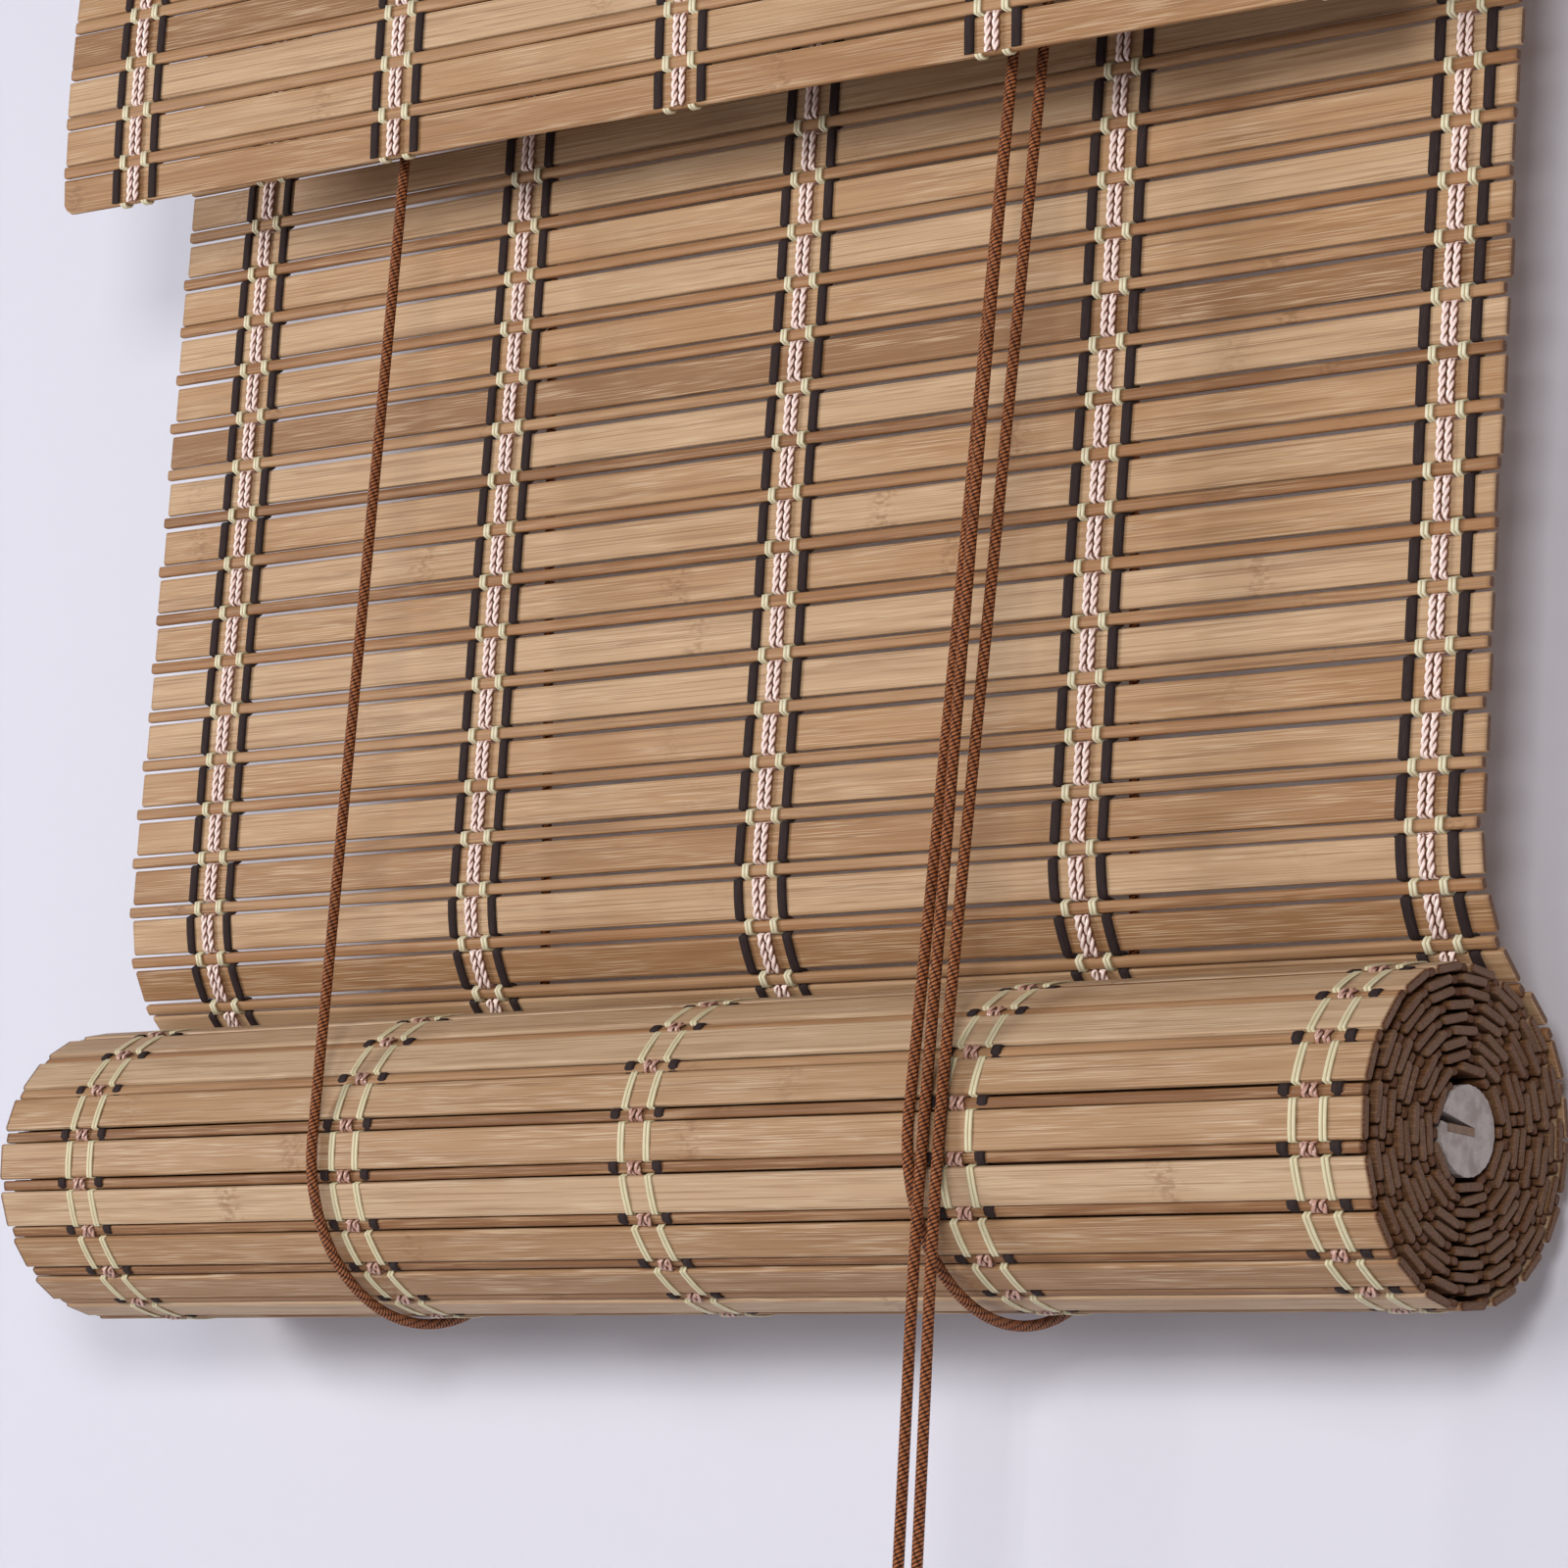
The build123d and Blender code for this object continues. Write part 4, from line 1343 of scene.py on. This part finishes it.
@dataclass
class Cords:
    """The two lift cords, their knots and the two pull cords.

    Attributes:
        radius: Radius of a cord.
        sling_radius: Radius of the cord's middle under the roll.
        spacing: Distance between rings of a cord's surface.
        anchor: Y and Z of a lift cord's fixed end.
        knot_length: Length of the knot there.
        knot_turns: Turns of cord in a knot.
        knot_spread: Radius that the turns wind at.
        knot_radius: Radius of the cord drawn tight in a knot.
    """

    radius: float = 0.0015
    sling_radius: float = 0.0462
    spacing: float = 0.0009
    anchor: tuple[float, float] = (0.0259, -0.0335)
    knot_length: float = 0.006
    knot_turns: float = 2.6
    knot_spread: float = 0.00155
    knot_radius: float = 0.0013

    def tangent_angle(self, y: float, z: float, side: int) -> float:
        """Angle, from +Y to +Z, where a cord from y, z meets the sling; side 1 is the front."""
        reach = math.hypot(y - ROLL_Y, z - ROLL_Z)
        return math.atan2(z - ROLL_Z, y - ROLL_Y) + side * math.acos(self.sling_radius / reach)

    def sling_point(self, x: float, angle: float) -> Array:
        """Gives the point of a sling's middle at an angle about the roll's axis."""
        across, up = self.sling_radius * math.cos(angle), self.sling_radius * math.sin(angle)
        return np.array((x, ROLL_Y + across, ROLL_Z + up))

    def rope(self, name: str, line: Array, side: Point) -> Piece:
        """Builds one cord along a line; its section keeps to the direction side."""
        half = np.array([self.radius])
        return make_tubes(name, line[None], np.array(side, dtype=float), half, half, 14)

    def straight(self, start: Point, end: Point) -> Array:
        """A straight line of evenly spaced points."""
        count = max(3, round(math.dist(start, end) / self.spacing))
        return np.linspace(start, end, count)

    def arc(self, centre: Point, radius: float, start: float, end: float, plane: Plane) -> Array:
        """An arc of points.

        Args:
            centre: Centre.
            radius: Radius.
            start: First angle, from Y or X towards Z.
            end: Last angle.
            plane: Plane that it lies in.

        Returns:
            The points.
        """
        angle = np.linspace(start, end, max(5, round(abs(end - start) * radius / self.spacing)))
        points = np.tile(np.array(centre), (len(angle), 1))
        points[:, plane.value] += radius * np.cos(angle)
        points[:, 2] += radius * np.sin(angle)
        return points

    def knot(self, name: str, starts: Sequence[Point], ends: Sequence[Point]) -> Piece:
        """Builds knots as turns of cord wound round an axis, closing in at both ends.

        Args:
            name: Name of the piece.
            starts: Upper end of each knot.
            ends: Lower end of each knot.

        Returns:
            The piece.
        """
        share = np.linspace(0.0, 1.0, 90)
        turn = share * 2 * math.pi * self.knot_turns
        spread = self.knot_spread * np.sin(math.pi * share) ** 0.35
        wound = np.stack((spread * np.cos(turn), spread * np.sin(turn), 0 * turn), axis=-1)
        lines = []
        for start, end in zip(starts, ends):
            first = np.array(start)
            span = np.array(end) - first
            inset = self.knot_radius / np.linalg.norm(span)
            lines.append(first + (inset + share * (1 - 2 * inset))[:, None] * span + wound)
        half = np.full(len(lines), self.knot_radius)
        return make_tubes(name, np.array(lines), np.array([0.0, 0.0, 1.0]), half, half, 12)

    def hanging_line(self, name: str, route: Sequence[Point]) -> Array:
        """Reads the points of a free cord off a smooth spline.

        Args:
            name: Name of the spline.
            route: Its control points.

        Returns:
            Points along it.
        """
        curve = bpy.data.curves.new(name, "CURVE")
        curve.dimensions = "3D"
        curve.resolution_u = 150
        spline = curve.splines.new("NURBS")
        spline.points.add(len(route) - 1)
        for place, point in zip(spline.points, route):
            place.co = (*point, 1.0)
        spline.order_u = 3
        spline.use_endpoint_u = True
        holder = bpy.data.objects.new(name, curve)
        mesh = bpy.data.meshes.new_from_object(holder)
        points = np.zeros(len(mesh.vertices) * 3)
        mesh.vertices.foreach_get("co", points)
        bpy.data.objects.remove(holder)
        bpy.data.curves.remove(curve)
        bpy.data.meshes.remove(mesh)
        return points.reshape(-1, 3)

    def build_lift(self, material: Material) -> None:
        """Builds both lift cords with their knots.

        Args:
            material: Cord's material.
        """
        heads = {"left": (-0.1108, -0.0222, -0.0325), "right": (0.1064, -0.0082, -0.0315)}
        knot_starts, knot_ends, pieces = [], [], []
        for side, (x, y, z) in heads.items():
            front = self.tangent_angle(y, z, 1)
            back = self.tangent_angle(*self.anchor, -1)
            nose, tail = self.sling_point(x, front), self.sling_point(x, back)
            hook = np.array((x, *self.anchor))
            foot = hook + self.knot_length * unit(tail - hook)
            run = self.rope(f"front_cord_{side}", self.straight(tuple(nose), (x, y, z)), (1, 0, 0))
            follow_lift(run)
            rear = self.rope(f"rear_cord_{side}", self.straight(tuple(foot), tuple(tail)), (1, 0, 0))
            follow_lift(rear)
            below = front - 2 * math.pi * (front > 0)
            sweep = self.arc((x, ROLL_Y, ROLL_Z), self.sling_radius, below, back, Plane.YZ)
            sling = self.rope(f"sling_cord_{side}", sweep, (1, 0, 0))
            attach(sling, "sling")
            for piece, node in ((run, "front_run"), (rear, "rear_run"), (sling, "sling")):
                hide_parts(f"{node}_{side}")
                pieces.append(piece)
            knot_starts.append(tuple(hook))
            knot_ends.append(tuple(foot))
        knots = self.knot("anchor_wraps", knot_starts, knot_ends)
        pulley, pulley_radius = (-0.1043, -0.0222, -0.0325), 0.0065
        guide, guide_radius = (0.1119, -0.0222, -0.0315), 0.0055
        rear_guide = (0.1119, -0.0082, -0.0315)
        over = np.concatenate((
            self.arc(pulley, pulley_radius, math.pi, math.pi / 2, Plane.XZ),
            self.straight((-0.1037, -0.0222, -0.026), (0.1113, -0.0222, -0.026)),
            self.arc(guide, guide_radius, math.pi / 2, 0.0, Plane.XZ)))
        cross = self.rope("cross_cord", over, (0, 1, 0))
        bow = self.arc(rear_guide, guide_radius, math.pi, 0.0, Plane.XZ)
        turn = self.rope("lock_cord", bow, (0, 1, 0))
        still = {"anchor_knots": knots, "cross_run_left": cross, "lock_turn_right": turn}
        for node, piece in still.items():
            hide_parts(node)
            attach(piece, "root")
        for piece in (*pieces, *still.values()):
            dress(piece, material)

    def build_pull(self, material: Material) -> None:
        """Builds both pull cords and the knots in the wooden pull.

        Args:
            material: Cord's material.
        """
        routes = {
            "left": (
                (0.1174, -0.0222, -0.0316), (0.117, -0.0225, -0.0496), (0.115, -0.024, -0.14),
                (0.113, -0.026, -0.25), (0.1118, -0.029, -0.42), (0.1108, -0.0291, -0.47),
                (0.1113, -0.028, -0.54), (0.1115, -0.0277, -0.5849)),
            "right": (
                (0.1174, -0.0082, -0.0316), (0.117, -0.0092, -0.0496), (0.1166, -0.0138, -0.14),
                (0.1166, -0.0194, -0.25), (0.1163, -0.0284, -0.42), (0.1164, -0.0291, -0.47),
                (0.1174, -0.028, -0.54), (0.1177, -0.0277, -0.5849)),
        }
        knot_top, knot_foot, moving_z = -0.585, -0.591, -0.56
        tops = [(route[-1][0], route[-1][1], knot_top) for route in routes.values()]
        feet = [(route[-1][0], route[-1][1], knot_foot) for route in routes.values()]
        knots = self.knot("pull_wraps", tops, feet)
        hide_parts("pull_knots")
        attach(knots, "pull")
        dress(knots, material)
        for side, route in routes.items():
            line = self.hanging_line(f"pull_line_{side}", route)
            piece = self.rope(f"pull_rope_{side}", line, (1, 0, 0))
            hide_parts(f"pull_cord_{side}")
            dress(piece, material)
            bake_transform(piece)


def stand(name: str, data: bpy.types.ID, axes: Sequence[Array], place: Point) -> Piece:
    """Adds a camera or light to the scene.

    Args:
        name: Its name.
        data: Its data.
        axes: Directions of its right, its top and its back.
        place: Its place.

    Returns:
        The new object.
    """
    matrix = np.eye(4)
    matrix[:3, :3] = np.stack(axes, axis=1)
    matrix[:3, 3] = place
    added = bpy.data.objects.new(name, data)
    added.matrix_world = Matrix(matrix.tolist())
    bpy.context.scene.collection.objects.link(added)
    return added


@dataclass
class Studio:
    """Camera, lights, wall and floor.

    Attributes:
        place: Camera's place.
        right: Camera's right.
        down: Camera's down.
        look: Camera's direction of view.
        lens: Focal length in millimetres.
        sensor: Width of the sensor in millimetres.
        wall_y: Y of the wall behind the blind.
        floor_z: Z of the floor.
        top_z: Z of the wall's top.
        half_width: Half the width of the wall and floor.
        aim: Point that the lights face.
        wall: Wall's colour.
        floor: Floor's colour.
        sky: Colour of the light from all round.
        sky_strength: Strength of that light.
    """

    place: Point = (1.0374, -1.1135, -0.5980)
    right: Point = (0.7474, 0.66092, 0.06761)
    down: Point = (-0.06055, 0.16911, -0.98374)
    look: Point = (-0.66161, 0.73115, 0.16641)
    lens: float = 130.5
    sensor: float = 36.0
    wall_y: float = 0.068
    floor_z: float = -1.5
    top_z: float = 2.5
    half_width: float = 3.0
    aim: Point = (0.0, 0.0, -0.25)
    wall: Colour = (0.635, 0.635, 0.71)
    floor: Colour = (0.80, 0.80, 0.80)
    sky: Colour = (0.78, 0.82, 1.0)
    sky_strength: float = 0.16

    def build_camera(self) -> None:
        """Places the camera at the photograph's viewing angle."""
        data = bpy.data.cameras.new("camera")
        data.sensor_width = self.sensor
        data.lens = self.lens
        axes = (np.array(self.right), -np.array(self.down), -np.array(self.look))
        bpy.context.scene.camera = stand("camera", data, axes, self.place)

    def panel(self, name: str, corners: Sequence[Point], colour: Colour) -> None:
        """Builds a plain stage panel that is seen from its front only and casts no shadow.

        Args:
            name: Name of the panel.
            corners: Its corners, counter-clockwise seen from its front.
            colour: Its colour.
        """
        panel = make_piece(name, np.array(corners), [np.arange(4)[None]], False, {})
        material, graph, shader = start_material(name)
        output = next(node for node in graph.tree.nodes if node.type == "OUTPUT_MATERIAL")
        shader.inputs["Base Color"].default_value = opaque(colour)
        shader.inputs["Roughness"].default_value = 0.9
        clear = graph.add("ShaderNodeBsdfTransparent", {})
        behind = graph.add("ShaderNodeNewGeometry", {}).outputs["Backfacing"]
        shade = graph.add("ShaderNodeLightPath", {}).outputs["Is Shadow Ray"]
        unseen = graph.math("MAXIMUM", behind, shade)
        both = graph.add("ShaderNodeMixShader", {0: unseen, 1: shader.outputs[0], 2: clear.outputs[0]})
        graph.feed(output.inputs["Surface"], both.outputs[0])
        cover(panel, material)

    def light(self, name: str, place: Point, size: float, power: float, colour: Colour) -> None:
        """Adds a soft square light.

        Args:
            name: Name of the light.
            place: Its place.
            size: Its width.
            power: Its power in watts.
            colour: Its colour.
        """
        data = bpy.data.lights.new(name, "AREA")
        data.size = size
        data.energy = power
        data.color = colour
        back = unit(np.array(place) - np.array(self.aim))
        right = unit(np.cross(np.array([0.0, 0.0, 1.0]), back))
        stand(name, data, (right, np.cross(back, right), back), place)

    def build(self) -> None:
        """Builds the stage and the lights."""
        side, wall, floor, top = self.half_width, self.wall_y, self.floor_z, self.top_z
        foot = ((-side, wall, floor), (side, wall, floor))
        self.panel("wall", (*foot, (side, wall, top), (-side, wall, top)), self.wall)
        self.panel("floor", ((-side, -side, floor), (side, -side, floor), *foot[::-1]), self.floor)
        self.light("key", (-1.6, -1.35, -0.22), 0.6, 25.5, (1.0, 0.98, 0.96))
        self.light("fill", (1.1, -1.7, -0.12), 0.4, 18.5, (1.0, 0.98, 0.97))
        self.light("front", (0.3, -2.1, -0.3), 0.9, 10.0, (1.0, 0.99, 0.98))
        self.light("back", (0.5, 2.2, 0.1), 1.2, 11.0, (1.0, 0.99, 0.98))
        world = bpy.data.worlds.new("studio")
        world.use_nodes = True
        sky = next(node for node in world.node_tree.nodes if node.type == "BACKGROUND")
        sky.inputs["Color"].default_value = opaque(self.sky)
        sky.inputs["Strength"].default_value = self.sky_strength
        bpy.context.scene.world = world
        bpy.context.scene.view_settings.view_transform = "Standard"


CARRIED = {
    Slot.RAIL: ("head_rail", "mat_batten"),
    Slot.PULL: ("wooden_pull",),
    Slot.STEEL: (
        "pulley_bracket", "lock_housing", "pulley_pin", "lock_guide_pin", "screw_eyes", "pulley_screws",
        "lock_screws", "batten_screws", "mat_nails", "valance_nails"),
    Slot.WHEEL: ("pulley_wheel", "lock_guide_roller"),
    Slot.JAM: ("lock_jam_roller",),
}


def dress_carried(nodes: Mapping[str, Piece], palette: Palette) -> None:
    """Gives the CAD nodes that stay in view their materials.

    Args:
        nodes: CAD nodes by name.
        palette: Materials.
    """
    for slot, names in CARRIED.items():
        for name in names:
            cover(nodes[name], palette.slots[slot])


def main() -> None:
    """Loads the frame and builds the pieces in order."""
    logging.basicConfig(level=logging.INFO, format="%(name)s: %(message)s")
    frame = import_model()
    studio = Studio()
    studio.build_camera()
    studio.build()
    palette = Palette.make()
    cords = Cords()
    cords.build_lift(palette.slots[Slot.CORD])
    cords.build_pull(palette.slots[Slot.CORD])
    Mats().build(palette)
    Core().build(palette)
    dress_carried(frame["nodes"], palette)


if __name__ == "__main__":
    main()
